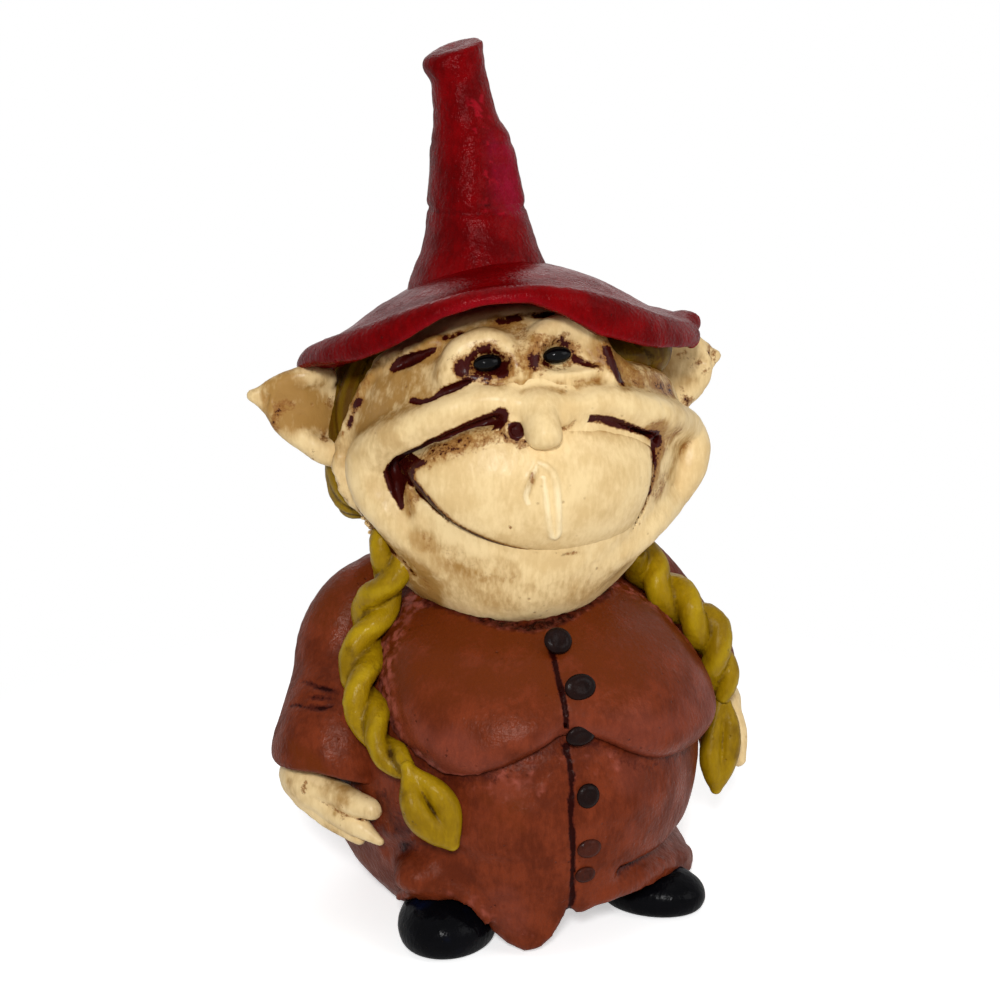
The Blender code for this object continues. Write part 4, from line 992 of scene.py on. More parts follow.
@dataclass
class Head:
    """The grinning mask, the great upper lip, the nose, the eyes, the ears and the hair behind."""

    middle: Place = (3.5, -4.0, 108.0)
    halves: Place = (39.5, 36.0, 40.0)
    step: float = 0.6
    film_wash: float = 0.65
    edge: Path = (
        ((-19.8, -21.9, 134.8), 1.0), ((-24.8, -18.5, 132.2), 1.0), ((-29.6, -11.4, 128.3), 1.0),
        ((-32.9, -9.6, 122.4), 1.0), ((-35.4, -6.8, 116.0), 1.0), ((-37.8, -6.2, 109.8), 1.1),
        ((-38.7, -6.0, 104.9), 1.1), ((-37.4, -6.2, 99.9), 1.1), ((-35.4, -7.0, 96.6), 1.1),
        ((-32.5, -10.4, 93.7), 1.1), ((-30.3, -12.5, 89.9), 1.1), ((-28.0, -12.8, 86.0), 1.1),
        ((-24.1, -13.5, 81.6), 1.1), ((-20.5, -14.0, 77.5), 1.1), ((-18.4, -14.0, 74.3), 1.0))
    far_edge: Drawing = (
        (-10.5, 70.5), (1, 68.7), (11.5, 70.5), (17.5, 74.5), (23.5, 80), (31, 85), (35.5, 90), (41.5, 98),
        (43.6, 108.5), (43.6, 114.4), (41.0, 118.6), (35.5, 123.0), (29.5, 126.0), (23.5, 128.2),
        (19.5, 131.5), (17.6, 136.0), (12, 140), (0, 141.5), (-12, 139.5))
    cheek_right: Path = (
        ((-8.4, -35.5, 123.6), 2.2), ((-13.6, -33.5, 123.4), 2.7), ((-19.6, -30.6, 121.0), 3.2),
        ((-25.0, -26.6, 117.8), 3.8), ((-29.5, -21.8, 114.2), 4.5), ((-32.6, -16.7, 109.8), 5.1),
        ((-33.1, -15.3, 105.4), 5.3), ((-32.0, -16.6, 100.5), 5.0), ((-29.6, -19.7, 96.6), 4.6),
        ((-26.2, -22.8, 92.3), 4.2), ((-21.3, -25.1, 87.3), 3.8))
    cheek_left: Path = (
        ((7.2, -38.0, 121.7), 2.4), ((13.6, -36.9, 122.1), 3.3), ((21.7, -34.8, 119.6), 3.6),
        ((30.4, -30.1, 116.1), 3.8), ((37.0, -23.0, 112.6), 3.9), ((41.4, -18.0, 109.3), 4.0),
        ((42.9, -18.4, 105.4), 4.0), ((41.2, -19.4, 100.1), 4.0), ((37.4, -19.9, 94.5), 3.6),
        ((29.9, -26.6, 91.0), 3.4), ((22.3, -29.8, 87.0), 3.2), ((14.4, -31.0, 83.7), 3.0))
    mouth: Drawing = (
        (-27.8, 107.9), (-24.6, 102.2), (-19.6, 97.2), (-12.3, 93.0), (-3.5, 89.9), (5.7, 88.1),
        (15.0, 88.2), (21.9, 91.4), (25.0, 97.6), (26.6, 105.1), (26.8, 110.0))
    lip_top: Drawing = (
        (24.6, 112.2), (21.2, 114.3), (16.7, 116.4), (10.0, 118.2), (2, 120.5), (-6, 119.8), (-10.5, 118.4),
        (-14.6, 117.4), (-19.6, 115.2), (-24.4, 112.2))
    smile_right: Path = (
        ((-9.2, -36.6, 121.4), 1.2), ((-10.4, -36.2, 119.8), 1.6), ((-13.4, -34.9, 118.5), 1.4),
        ((-16.6, -33.4, 117.2), 1.25), ((-19.7, -31.8, 115.9), 1.1), ((-22.3, -30.0, 114.2), 1.1),
        ((-24.5, -28.0, 112.5), 1.15), ((-27.0, -25.2, 110.6), 1.4))
    smile_left: Path = (
        ((8.6, -38.8, 119.6), 0.4), ((10.1, -38.6, 119.2), 0.8), ((13.2, -37.8, 118.7), 1.0),
        ((16.6, -37.1, 117.4), 1.1), ((20.4, -35.5, 115.9), 1.2), ((25.1, -32.8, 113.8), 1.5),
        ((26.9, -32.6, 112.8), 1.0))
    pocket: Path = (
        ((-28.2, -24.4, 109.6), 1.7), ((-28.6, -23.6, 107.2), 2.1), ((-28.8, -23.6, 104.8), 1.4),
        ((-28.9, -23.8, 102.2), 0.8), ((-28.7, -24.4, 100.4), 0.5), ((-28.5, -24.8, 99.2), 0.25))
    short_leg: Path = (
        ((-27.2, -25.4, 106.4), 0.7), ((-26.4, -28.2, 105.2), 0.6), ((-25.3, -31.0, 103.6), 0.35))
    slot: Path = (
        ((-27.4, -17.2, 128.2), 0.35), ((-25.8, -18.6, 129.7), 0.95), ((-24.0, -19.9, 130.8), 1.15),
        ((-21.9, -21.4, 132.0), 0.7), ((-19.8, -23.0, 133.2), 0.25))
    crow: Path = (
        ((-25.6, -24.4, 122.8), 0.4), ((-23.8, -26.5, 122.6), 0.6), ((-21.7, -28.5, 123.6), 0.65),
        ((-19.5, -29.1, 125.1), 0.8), ((-16.7, -30.3, 126.2), 0.9), ((-14.4, -31.2, 127.3), 0.6))
    mouth_line: Path = line(
        0.5, (-26.2, -26.2, 105.0), (-24.4, -28.4, 102.2), (-19.4, -31.4, 97.7), (-12.2, -34.8, 93.7),
        (-3.5, -36.8, 90.9), (5.7, -36.8, 89.2), (15.0, -34.4, 89.2), (22.0, -32.4, 91.9),
        (25.3, -32.0, 97.8), (27.0, -32.0, 105.0), (26.8, -33.2, 111.0))
    philtrum: tuple[Path, ...] = (
        [((-2.8, -43.2, 111.4), 0.3), ((-1.0, -43.5, 110.2), 0.5), ((0.4, -43.7, 108.0), 0.5),
         ((1.0, -43.6, 104.0), 0.55), ((1.4, -42.7, 98.6), 0.55), ((1.7, -41.3, 94.4), 0.55),
         ((0.4, -41.3, 94.2), 0.5), ((-0.8, -42.6, 98.4), 0.45), ((-1.5, -43.4, 103.0), 0.4),
         ((-2.0, -43.7, 108.0), 0.3)],
        [((-3.4, -43.2, 110.6), 0.3), ((-4.8, -43.0, 107.6), 0.45), ((-5.9, -42.8, 104.4), 0.4),
         ((-5.4, -42.6, 102.4), 0.25)])
    wrinkles: tuple[Path, ...] = (
        line(0.3, (-13.6, -32.6, 127.6), (-9.6, -34.2, 127.0), (-5.6, -35.6, 127.4)),
        line(0.3, (-2.6, -36.0, 127.6), (2.4, -36.8, 126.8), (7.6, -36.9, 126.9), (12.0, -36.5, 127.0)),
        line(0.35, (-6.4, -36.4, 126.0), (-1.2, -36.8, 125.3), (4.6, -37.2, 125.3)),
        line(0.3, (1.0, -35.7, 129.9), (5.0, -36.0, 129.4), (9.6, -35.6, 129.5)))
    eyes: dict[Side, Place] = field(default_factory=lambda: {
        Side.RIGHT: (-10.6, -32.3, 131.3), Side.LEFT: (4.4, -34.6, 132.3)})

    def lid(self, side: Side) -> list[Station]:
        """The arch of puffy skin over an eye."""
        if side is Side.RIGHT:
            return [((-18.9, -27.6, 127.6), 1.2), ((-18.2, -27.4, 130.2), 2.0),
                    ((-15.4, -27.4, 133.6), 2.5), ((-11.4, -28.0, 135.4), 2.7), ((-7.8, -29.8, 135.4), 2.4),
                    ((-5.6, -32.2, 133.2), 2.0), ((-4.6, -33.8, 129.9), 1.6)]
        return [((-1.4, -33.6, 130.4), 1.6), ((-0.2, -32.0, 134.4), 2.2), ((3.4, -30.6, 137.0), 2.7),
                ((8.6, -29.8, 137.6), 2.9), ((13.4, -30.0, 135.4), 2.7), ((15.4, -31.4, 131.6), 2.4),
                ((16.6, -33.2, 127.2), 1.9)]

    def bag(self, side: Side) -> list[Station]:
        """The fold under an eye."""
        if side is Side.RIGHT:
            return [((-14.6, -30.4, 128.4), 0.6), ((-11.6, -31.6, 128.2), 0.9), ((-8.0, -33.2, 128.3), 0.9),
                    ((-5.4, -34.2, 128.8), 0.6)]
        return [((0.4, -35.0, 129.0), 0.6), ((4.0, -35.6, 128.2), 0.9), ((9.0, -35.4, 128.2), 1.0),
                ((13.4, -34.6, 128.4), 0.8)]

    def mask(self, clay: Clay) -> Clay:
        """Models the face's masses in a block, without its lip and nose.

        Args:
            clay: the block.

        Returns:
            The block.
        """
        clay.add(ball(self.middle, self.halves, TURNED))
        clay.add(ball((-20.7, -4.0, 103.5), (17.8, 5, 25), TURNED), 2)
        near_edge = [(x + 0.5, z) for (x, _, z), _ in self.edge]
        clay.keep(outline((*near_edge, *self.far_edge)), 1.6)
        clay.add(ball((0.2, -14, 90.9), (30, 23.5, 22.5), TURNED), 6)
        clay.add(ball((-1.1, -24.5, 79.5), (15, 9.5, 8.5), TURNED), 8)
        clay.add(ball((-3.2, -27.0, 128.5), (15, 7.5, 7.5), TURNED), 4)
        clay.add(roll([((x + 0.9, y, z), width) for (x, y, z), width in self.edge], swell=0.2), 2.6)
        clay.carve(roll(self.smile_right, flat=(1, 0.6, 1)), 0.8)
        clay.carve(roll(self.smile_left, flat=(1, 0.6, 1)), 0.6)
        clay.add(roll(self.cheek_right), 3.0)
        clay.add(roll(self.cheek_left), 3.0)
        return clay

    def face_clay(self) -> Clay:
        """Models the mask.

        Returns:
            The block.
        """
        clay = self.mask(Clay((-46, -52, 64), (51, 8, 150), self.step))
        for side, (x, y, z) in self.eyes.items():
            clay.carve(ball((x + 0.2, y - 1.2, z + 0.4), (5.2, 3.4, 3.3), (0, -4, HEAD_TURN)), 2.4)
            clay.add(roll(self.lid(side)), 2.6)
            clay.add(roll(self.bag(side)), 1.4)
            clay.carve(ball((x, y - 2.4, z), (4.0, 3.2, 2.3), (0, -4, HEAD_TURN)), 1.2)
        clay.add(roll([((-26.9, -26.3, 104.4), 1.3), ((-25.4, -26.8, 100.0), 1.9),
                       ((-24.6, -26.6, 96.4), 1.8), ((-23.6, -26.4, 94.0), 1.2)]), 1.4)
        clay.carve(roll(self.smile_right[5:], flat=(1, 0.5, 1)), 0.5)
        clay.carve(roll(self.pocket, flat=(1, 0.45, 1)), 0.6)
        clay.carve(roll(self.short_leg, flat=(1, 0.6, 1)), 0.4)
        clay.carve(roll(self.slot, flat=(1, 0.6, 1)), 0.6)
        clay.carve(roll(self.crow), 0.6)
        clay.carve(roll(self.mouth_line, flat=(1, 0.7, 1)), 0.3)
        clay.carve(ball((28.1, -32.4, 111.2), (0.9, 2.2, 0.9)), 0.4)
        for wrinkle in self.wrinkles:
            clay.carve(roll(wrinkle), 0.7)
        return clay

    def strokes(self) -> list[Stroke]:
        """The glaze that the painter left on the mask."""
        rim = [(place, 0.4) for place, _ in self.edge]
        return [
            Stroke(self.smile_right, 0.9, 1.0, 0.2, 0.1), Stroke(self.smile_left, 0.8, 1.0, 0.3, 0.2),
            Stroke(deeper(self.smile_right, swell=0.4), 1.0, 1.3),
            Stroke(deeper(self.smile_left, swell=0.3), 0.9, 1.2),
            Stroke(self.pocket, 0.6, 1.1), Stroke(deeper(self.pocket, swell=0.2), 0.9, 1.3),
            Stroke(self.short_leg, 0.5, 1.0), Stroke(self.slot, 0.4, 1.1, 0, 0.15),
            Stroke(deeper(self.slot, 1.2, 0.0), 0.5, 1.2), Stroke(self.crow, 0.5, 1.1, 0.3, 0.3),
            *[Stroke(line(0.5, *[(x + across, y + 0.35 * abs(across) - 0.6, z + up) for across, up in (
                (-3.4, 0.0), (-2.2, 1.5), (0.0, 2.1), (2.2, 1.5), (3.4, 0.0), (2.2, -1.5), (0.0, -2.0),
                (-2.2, -1.5), (-3.4, 0.0))]), 1.3, 0.42, 0.3, 0.5) for x, y, z in self.eyes.values()],
            Stroke(line(1.1, (-6.8, -37.8, 118.3), (-6.5, -37.9, 117.4)), 1.0, 2.0),
            Stroke(self.mouth_line, 0.6, 0.55, 0.4),
            Stroke(line(0.8, (-16.2, -29.6, 131.0), (-13.2, -29.8, 133.6), (-9.7, -30.6, 134.3),
                        (-7.6, -32.2, 133.0), (-7.0, -33.8, 130.9)), 2.8, 0.5, 0.4, 0.5),
            Stroke(line(0.8, (-15.4, -30.3, 129.4), (-12.5, -31.9, 129.0), (-8.6, -33.3, 129.2)), 2.2, 0.46,
                   0.5, 0.5),
            Stroke(line(0.7, (-16.3, -29.7, 130.4), (-15.4, -30.5, 128.8), (-14.2, -31.2, 127.6)), 1.4, 0.7,
                   0.2, 0.4),
            Stroke(line(0.8, (-0.8, -34.0, 132.6), (0.6, -33.8, 134.6), (4.0, -32.6, 135.4),
                        (7.0, -31.8, 135.0), (8.8, -32.2, 132.8)), 2.2, 0.52, 0.4, 0.45),
            Stroke(line(0.7, (1.8, -34.6, 130.4), (-0.4, -34.6, 129.9), (-1.0, -34.8, 131.4)), 1.8, 0.5,
                   0.4, 0.4),
            Stroke(line(0.5, (8.8, -33.6, 130.9), (11.0, -33.9, 129.9), (13.4, -34.4, 128.4)), 0.9, 0.95,
                   0.3, 0.3),
            Stroke(line(1.2, (-6.6, -26.4, 138.4), (-3.0, -28.2, 137.5), (-1.9, -30.5, 136.1),
                        (-2.6, -33.4, 134.0), (-3.4, -34.8, 131.7)), 3.2, 0.3, 0.7, 0.4),
            Stroke(line(0.5, (-19.0, -21.6, 134.6), (-15.5, -22.9, 136.4), (-13.3, -25.9, 138.0),
                        (-10.0, -27.1, 139.1), (-5.6, -25.6, 139.2), (1.6, -26.0, 139.8),
                        (5.8, -26.5, 139.6)), 1.2, 1.1, 0.8, 0.8),
            Stroke(line(1.5, (-20.0, -22.6, 132.6), (-15.0, -25.0, 136.6), (-8.0, -27.0, 138.6)), 4.0, 0.1,
                   0.6, 0.3),
            Stroke(line(3.0, (-21.0, -25.0, 128.0), (-26.0, -20.5, 124.0), (-31.0, -14.0, 119.0)), 6.0,
                   0.12, 0.75, 0.3),
            Stroke(line(0.6, (-5.0, -35.5, 126.4), (-1.1, -36.1, 125.7), (4.3, -36.5, 125.8)), 1.8, 0.22,
                   0.8, 0.3),
            Stroke(line(0.5, (8.4, -36.4, 125.9), (13.9, -35.9, 126.3)), 1.8, 0.2, 0.7, 0.4),
            Stroke(line(1.0, (0.6, -35.2, 129.0), (-3.4, -35.4, 128.4), (-8.0, -34.0, 127.6)), 2.2, 0.24,
                   0.6, 0.7),
            Stroke(rim, 3.0, 0.2, 0.3, 0.4),
            Stroke(line(0.5, (-33.6, -10.8, 121.2), (-35.2, -9.4, 117.0), (-36.6, -8.0, 113.0)), 1.0, 0.9,
                   0.4, 0.9),
            Stroke(line(0.5, (-34.4, -10.4, 96.0), (-32.5, -12.5, 93.2), (-31.0, -15.0, 91.0),
                        (-29.8, -17.5, 89.2), (-27.1, -21.5, 86.9), (-24.9, -22.5, 84.0)), 1.2, 1.2, 0.6,
                   0.7),
            Stroke(line(1.0, (-27.2, -26.2, 104.6), (-26.0, -27.2, 103.4)), 2.4, 0.34, 0.8, 0.3),
            Stroke(line(0.8, (-27.2, -26.0, 103.0), (-26.8, -26.6, 101.2), (-26.2, -27.0, 99.4)), 2.4, 0.2,
                   0.7, 0.3),
            # painted shade along the jaw's outer edge
            Stroke(line(2.0, (-31.0, -15.0, 91.0), (-27.0, -21.5, 87.0), (-24.0, -22.5, 84.0),
                        (-20.5, -20.0, 79.0)), 5.0, 0.16, 0.9, 0.2),
            # painted shade under the chin
            Stroke(line(2.0, (-21.9, -26.4, 83.0), (-15.8, -30.8, 81.8), (-8.2, -33.4, 80.6),
                        (0.9, -34.5, 79.7), (10.9, -33.3, 80.6), (18.0, -31.0, 83.0)), 6.0, 0.04, 0.4, 0.0),
            Stroke(line(1.4, (-24.5, -27.2, 92.6), (-20.9, -29.7, 90.2), (-16.0, -32.6, 87.9),
                        (-8.0, -34.6, 86.2)), 3.5, 0.14, 0.5, 0.3),
            Stroke(line(1.4, (26.6, -34.8, 115.2), (30.3, -30.7, 109.6), (33.1, -29.9, 111.8)), 3.0, 0.27,
                   0.8, 0.35),
            Stroke(line(1.4, (28.2, -32.0, 109.0), (27.4, -32.8, 107.7), (27.1, -32.6, 103.3),
                        (29.5, -29.8, 98.8)), 2.4, 0.3, 0.9, 0.35),
            Stroke(line(1.6, (37.3, -23.0, 107.3), (34.9, -25.7, 105.4), (32.3, -28.0, 101.7)), 3.2, 0.16,
                   0.6, 0.4),
            Stroke(line(0.9, (28.1, -32.2, 111.2), (28.3, -32.0, 111.0)), 0.7, 1.3),
            Stroke(line(2.6, (17.3, -32.7, 132.7), (20.7, -30.3, 129.4), (25.2, -28.4, 127.6),
                        (33.4, -23.0, 123.9)), 4.6, 0.42, 1.1, 0.35),
            Stroke(line(0.5, (16.3, -33.2, 132.0), (17.7, -34.8, 127.9), (18.7, -34.4, 125.2)), 1.2, 0.8,
                   0.5, 0.3),
            Stroke(line(0.6, (18.2, -36.6, 124.9), (25.5, -32.3, 122.9), (36.1, -22.6, 118.9)), 2.2, 0.28,
                   0.7, 0.4)]

    def face(self) -> None:
        """Makes the mask and its painting."""
        clay = self.face_clay()
        cast = clay.skin()
        p = cast.points
        dell = cast.marks["dell"]
        rim = cast.near(self.edge, 3.0)
        slot = line(1.0, *[(x, y - 1, z) for (x, y, z), _ in self.slot])
        lumps = np.clip(rim + cast.near(slot, 2.0) * 0.5, 0, 1)
        cast.push(0.2 * rough(p, 3.4, 11) + lumps * 0.5 * rough(p, 1.9, 21) + 0.06 * rough(p, 1.2, 31))
        # the large-hollow term is painted shade in the face's broad hollows
        cast.marks["wash"] = cast.sunk(0.03, 0.2) * 0.45 + fade(dell, 0.05, 0.3) * 0.2
        # brown colour in random patches, and painted shade in the broad hollows
        cast.marks["tint"] = patchy(p, 16.0, 61, -0.1, 0.8) * 0.3 + fade(dell, 0.0, 0.25) * 0.5
        cast.glaze([replace(stroke, path=clay.settle(stroke.path))
                    if stroke.wash < self.film_wash else stroke
                    for stroke in self.strokes()], 71)
        # painted highlight on the bulges
        cast.marks["highlight_and_pale"] = cast.raised(0.06, 0.25) * 0.5
        cast.show("face", SKIN, "skin_cream")

    def lip(self) -> None:
        """Makes the great upper lip."""
        clay = Clay((-34, -50, 84), (34, -14, 124), 0.55)
        clay.add(ball((0.5, -18, 104), (34, 25, 24), TURNED))
        sheet = outline(self.mouth + self.lip_top, (-60, -15))
        clay.keep(sheet, 1.8)
        loops = [clay.settle(loop) for loop in self.philtrum]
        for loop in loops:
            clay.add(roll(loop, swell=0.2), 0.35)
        cast = clay.skin()
        p = cast.points
        cast.push(0.16 * rough(p, 6.0, 12) + 0.04 * rough(p, 1.2, 32))
        flat = sheet.distance((clay.axes[0], np.array([-37.0]), clay.axes[2]))
        inside = -clay.sample(np.broadcast_to(flat, clay.field.shape), p)
        wash = np.where(p[:, 2] < 111, 0.8, 0.0) * (1 - fade(inside, 0.3, 1.3))
        cast.marks["wash"] = wash
        # brown colour in random patches, and painted shade near the lip's edges
        cast.marks["tint"] = (wash + patchy(p, 14.0, 62, 0.0, 0.9) * 0.16
                              + (1 - fade(inside, 0.5, 5.0)) * 0.22)
        cast.glaze([
            Stroke(line(0.8, (-9.0, -36.6, 117.8), (-13.4, -35.6, 116.4), (-17.6, -34.2, 115.0),
                        (-21.4, -32.0, 113.2), (-24.0, -30.2, 111.4)), 4.2, 0.56, 0.4, 0.45),
            Stroke(line(1.0, (-7.2, -38.0, 118.8), (-6.4, -38.4, 117.4)), 1.0, 2.0),
            Stroke(line(0.6, (25.6, -32.8, 112.6), (26.4, -33.4, 110.0), (26.2, -34.2, 106.0)), 2.2, 0.5,
                   0.7, 0.4),
            Stroke(line(0.5, (12.0, -37.6, 117.6), (17.0, -36.6, 116.0), (22.0, -35.0, 113.6)), 2.0, 0.4,
                   0.5, 0.5),
            Stroke(line(1.0, (5.6, -38.6, 118.6), (9.0, -38.2, 118.2)), 3.0, 0.34, 0.8, 0.6),
            Stroke(line(1.0, (-7.4, -37.6, 116.4), (-5.4, -38.6, 114.6)), 1.6, 0.6, 0.6, 0.4),
            Stroke(line(0.2, (-4.4, -42.4, 108.6), (-4.8, -42.4, 107.0)), 0.6, 0.5, 0.5),
            Stroke(line(0.3, (-3.0, -43.0, 110.6), (-5.6, -42.6, 105.0)), 1.4, 0.1, 0.6)], 72)
        # painted highlight along the philtrum's raised loops
        for loop in loops:
            cast.mark("highlight_and_pale", cast.near(loop, 0.4))
        for x, y, z in ((15.6, -39.6, 103.4), (18.6, -38.4, 109.0), (-9.0, -40.6, 97.0)):
            cast.mark("wash", cast.near(line(0.1, (x, y, z), (x + 0.2, y, z)), 0.7) * 0.6)
        cast.show("muzzle", SKIN, "skin_cream")

    def nose(self) -> None:
        """Makes the drooping nose."""
        clay = self.mask(Clay((-18, -52, 106), (17, -26, 134), 0.5))
        clay.add(roll([((-7.4, -35.2, 122.6), 2.0), ((-4.2, -36.8, 122.6), 2.4),
                       ((-0.4, -37.6, 122.8), 2.7), ((3.6, -37.6, 122.2), 2.2),
                       ((6.8, -37.4, 120.8), 1.5)]), 2.6)
        clay.add(roll([((-1.0, -37.0, 121.8), 3.9), ((-1.2, -39.6, 118.8), 4.0),
                       ((-1.2, -41.1, 116.8), 3.9)]), 1.8)
        clay.add(roll([((-6.8, -37.0, 119.4), 1.1), ((-8.2, -37.0, 117.8), 1.1),
                       ((-7.4, -37.6, 116.2), 1.0), ((-5.8, -38.2, 116.0), 0.9)]), 0.9)
        clay.add(ball((4.2, -38.8, 120.0), (1.7, 1.8, 2.0)), 1.2)
        clay.carve(ball((-6.7, -39.4, 117.7), (1.2, 2.0, 1.4)), 0.5)
        clay.keep(ball((-0.6, -37, 120.8), (11.6, 11.0, 8.0)), 1.0)
        _, y, z = spread(clay.axes)
        clay.trim(np.maximum(112.4 - z, y + 33.0), 0.5)
        cast = clay.skin()
        p = cast.points
        wing = line(0.8, (-8.0, -37.4, 118.6), (-7.6, -37.8, 116.2))
        cast.push(0.08 * rough(p, 3.0, 13) + 0.3 * cast.near(wing, 1.6) * rough(p, 1.6, 43))
        cast.marks["wash"] = cast.sunk(0.05, 0.25) * 0.3
        cast.marks["tint"] = patchy(p, 9.0, 63, 0.2, 0.9) * 0.2
        cast.glaze([
            Stroke(line(0.8, (-6.7, -38.4, 117.9), (-6.5, -38.6, 117.2)), 1.2, 2.0, 0.4),
            Stroke(line(0.6, (-8.6, -37.2, 119.0), (-8.8, -37.4, 116.8), (-7.2, -38.0, 115.4)), 1.4, 0.4,
                   0.9, 0.3),
            Stroke(self.smile_right[:4], 1.0, 1.1, 0.3, 0.2),
            Stroke(line(0.4, (4.2, -38.4, 117.6), (5.8, -38.6, 118.8), (6.8, -38.4, 119.8)), 1.5, 0.6, 0.9,
                   0.4),
            Stroke(line(0.5, (-5.0, -36.4, 124.6), (-1.0, -37.2, 125.3), (4.0, -37.4, 125.0)), 1.4, 0.15,
                   0.8, 0.3)], 73)
        cast.show("nose", SKIN, "skin_cream")

    def eye(self, side: Side) -> None:
        """Makes one bead eye.

        Args:
            side: whose eye.
        """
        x, y, z = self.eyes[side]
        clay = Clay((x - 5, y - 4, z - 4), (x + 5, y + 5, z + 4), 0.25)
        clay.add(ball((x, y + 0.6, z), (3.1, 1.9, 1.8), (0, -5, HEAD_TURN)))
        cast = clay.skin()
        cast.show(side.word + "_eye", EYE, "shoe_black")

    def ear(self, side: Side) -> None:
        """Makes one pointed ear with a folded rim.

        Args:
            side: whose ear.
        """
        if side is Side.RIGHT:
            upper = [((-37.6, 3.0, 123.4), 2.4), ((-42.5, 1.5, 124.4), 2.5), ((-48.5, 3.0, 123.0), 2.0),
                     ((-54.2, 4.6, 120.4), 1.0)]
            lower = [((-34, 0, 106), 3.2), ((-39.5, 0.5, 107.2), 3.0), ((-45.5, 2.0, 111.6), 2.4),
                     ((-50.5, 3.6, 116.8), 1.6), ((-54.2, 4.6, 120.4), 1.0)]
            web = ball((-42, 3.0, 116), (10, 2.4, 8), (0, 25, 8))
            groove = [((-49, 0.4, 119.6), 0.8), ((-44, -1.0, 117.8), 1.2), ((-38.5, -2.2, 115.0), 1.5)]
            low, high = (-58, -8, 100), (-28, 12, 131)
        else:
            upper = [((40, 2, 126), 3.0), ((47, 3.0, 126.4), 2.5), ((53, 4.0, 124.4), 2.0),
                     ((58.6, 5.2, 121.0), 1.0)]
            lower = [((38, 0, 106), 3.2), ((44.0, 1.0, 108.4), 3.0), ((50, 2.6, 112.8), 2.4),
                     ((55, 4.2, 117.2), 1.6), ((58.6, 5.2, 121.0), 1.0)]
            web = ball((47, 3.6, 117.4), (10, 2.4, 8), (0, -25, -8))
            groove = [((53.5, 1.2, 120.4), 0.8), ((49, -0.4, 119.0), 1.2), ((43.5, -2.0, 117.6), 1.5)]
            low, high = (32, -8, 100), (63, 12, 133)
        clay = Clay(low, high, 0.5)
        clay.add(web).add(roll(upper, flat=(1, 1.15, 1)), 1.6).add(roll(lower, flat=(1, 1.15, 1)), 1.6)
        clay.carve(roll(groove, swell=0.2), 1.4)
        cast = clay.skin()
        p = cast.points
        cast.push(0.12 * rough(p, 2.4, 14) + 0.08 * rough(p, 1.0, 34))
        root = (-36.5, -2.4, 114.0) if side is Side.RIGHT else (46.8, -2.0, 119.6)
        wash = cast.sunk(0.04, 0.22) * 0.3 + patchy(p, 3.6, 44, 0.0, 0.7) * 0.42
        wash += cast.near(line(1.2, root, (root[0], root[1], root[2] - 1.4)), 2.2) * 0.9
        if side is Side.LEFT:
            wash += patchy(p, 2.4, 45, 0.0, 0.6) * 0.36
        cast.marks["wash"] = wash
        brown = 0.9 if side is Side.RIGHT else 0.4
        cast.marks["tint"] = cast.near(groove, 6) * brown + patchy(p, 6.0, 54, -0.3, 0.5) * 0.7 * brown
        cast.show(side.word + "_ear", SKIN, "skin_cream")

    def hair(self) -> None:
        """Makes the hair, parted behind and combed down to the root of each braid."""
        clay = Clay((-46, -32, 70), (50, 44, 150), 0.8)
        clay.add(ball((2.8, 3.3, 111), (40.5, 34.5, 31), TURNED))
        clay.add(ball((27.0, -13.5, 128.5), (12, 10.5, 8), TURNED), 3)
        clay.add(ball((-30.5, 4, 100.5), (6.8, 8.4, 10.5), (0, 10, 0)), 5)
        clay.add(ball((36, -6, 100), (7.6, 11, 15), (0, -10, 0)), 5)
        clay.add(ball((2.5, 14, 90), (26, 19, 20)), 6)
        cast = clay.skin()
        p = cast.points
        waves = np.zeros(len(p))
        for side, root in BRAID_ROOTS.items():
            away = p - np.array(root)
            axis = np.array(HAIR_TOP) - np.array(root)
            axis = axis / np.linalg.norm(axis)
            across = np.cross(axis, (0.0, 0.0, 1.0))
            across = across / np.linalg.norm(across)
            other = np.cross(axis, across)
            angle = np.arctan2(away @ other, away @ across)
            reach = np.linalg.norm(away, axis=1)
            strands = np.abs(np.sin(angle * 11 + 0.5 * grain(p, 9.0, 15))) ** 0.7
            own = (p[:, 0] - PARTING) * side.value > 0
            waves = np.where(own, strands * fade(reach, 2, 16), waves)
        parting = np.exp(-((p[:, 0] - PARTING) / 1.2) ** 2) * (p[:, 1] > 10)
        cast.push(1.0 * (waves - 0.6) - 1.2 * parting + 0.15 * rough(p, 2.0, 25))
        cast.marks["wash"] = (1 - fade(waves, 0.25, 0.8)) * 0.6 + parting * 0.4
        # painted shadow of the brim: the front of the hair under it gets the dark tint
        upper = fade(p[:, 2], 100, 112) * (p[:, 1] < 8)
        cast.marks["tint"] = upper * 0.95 + 0.1
        # painted highlight on the tops of the strands
        cast.marks["highlight_and_pale"] = fade(waves, 0.75, 1.0) * 0.35
        cast.show("hair", HAIR, "hair_olive")


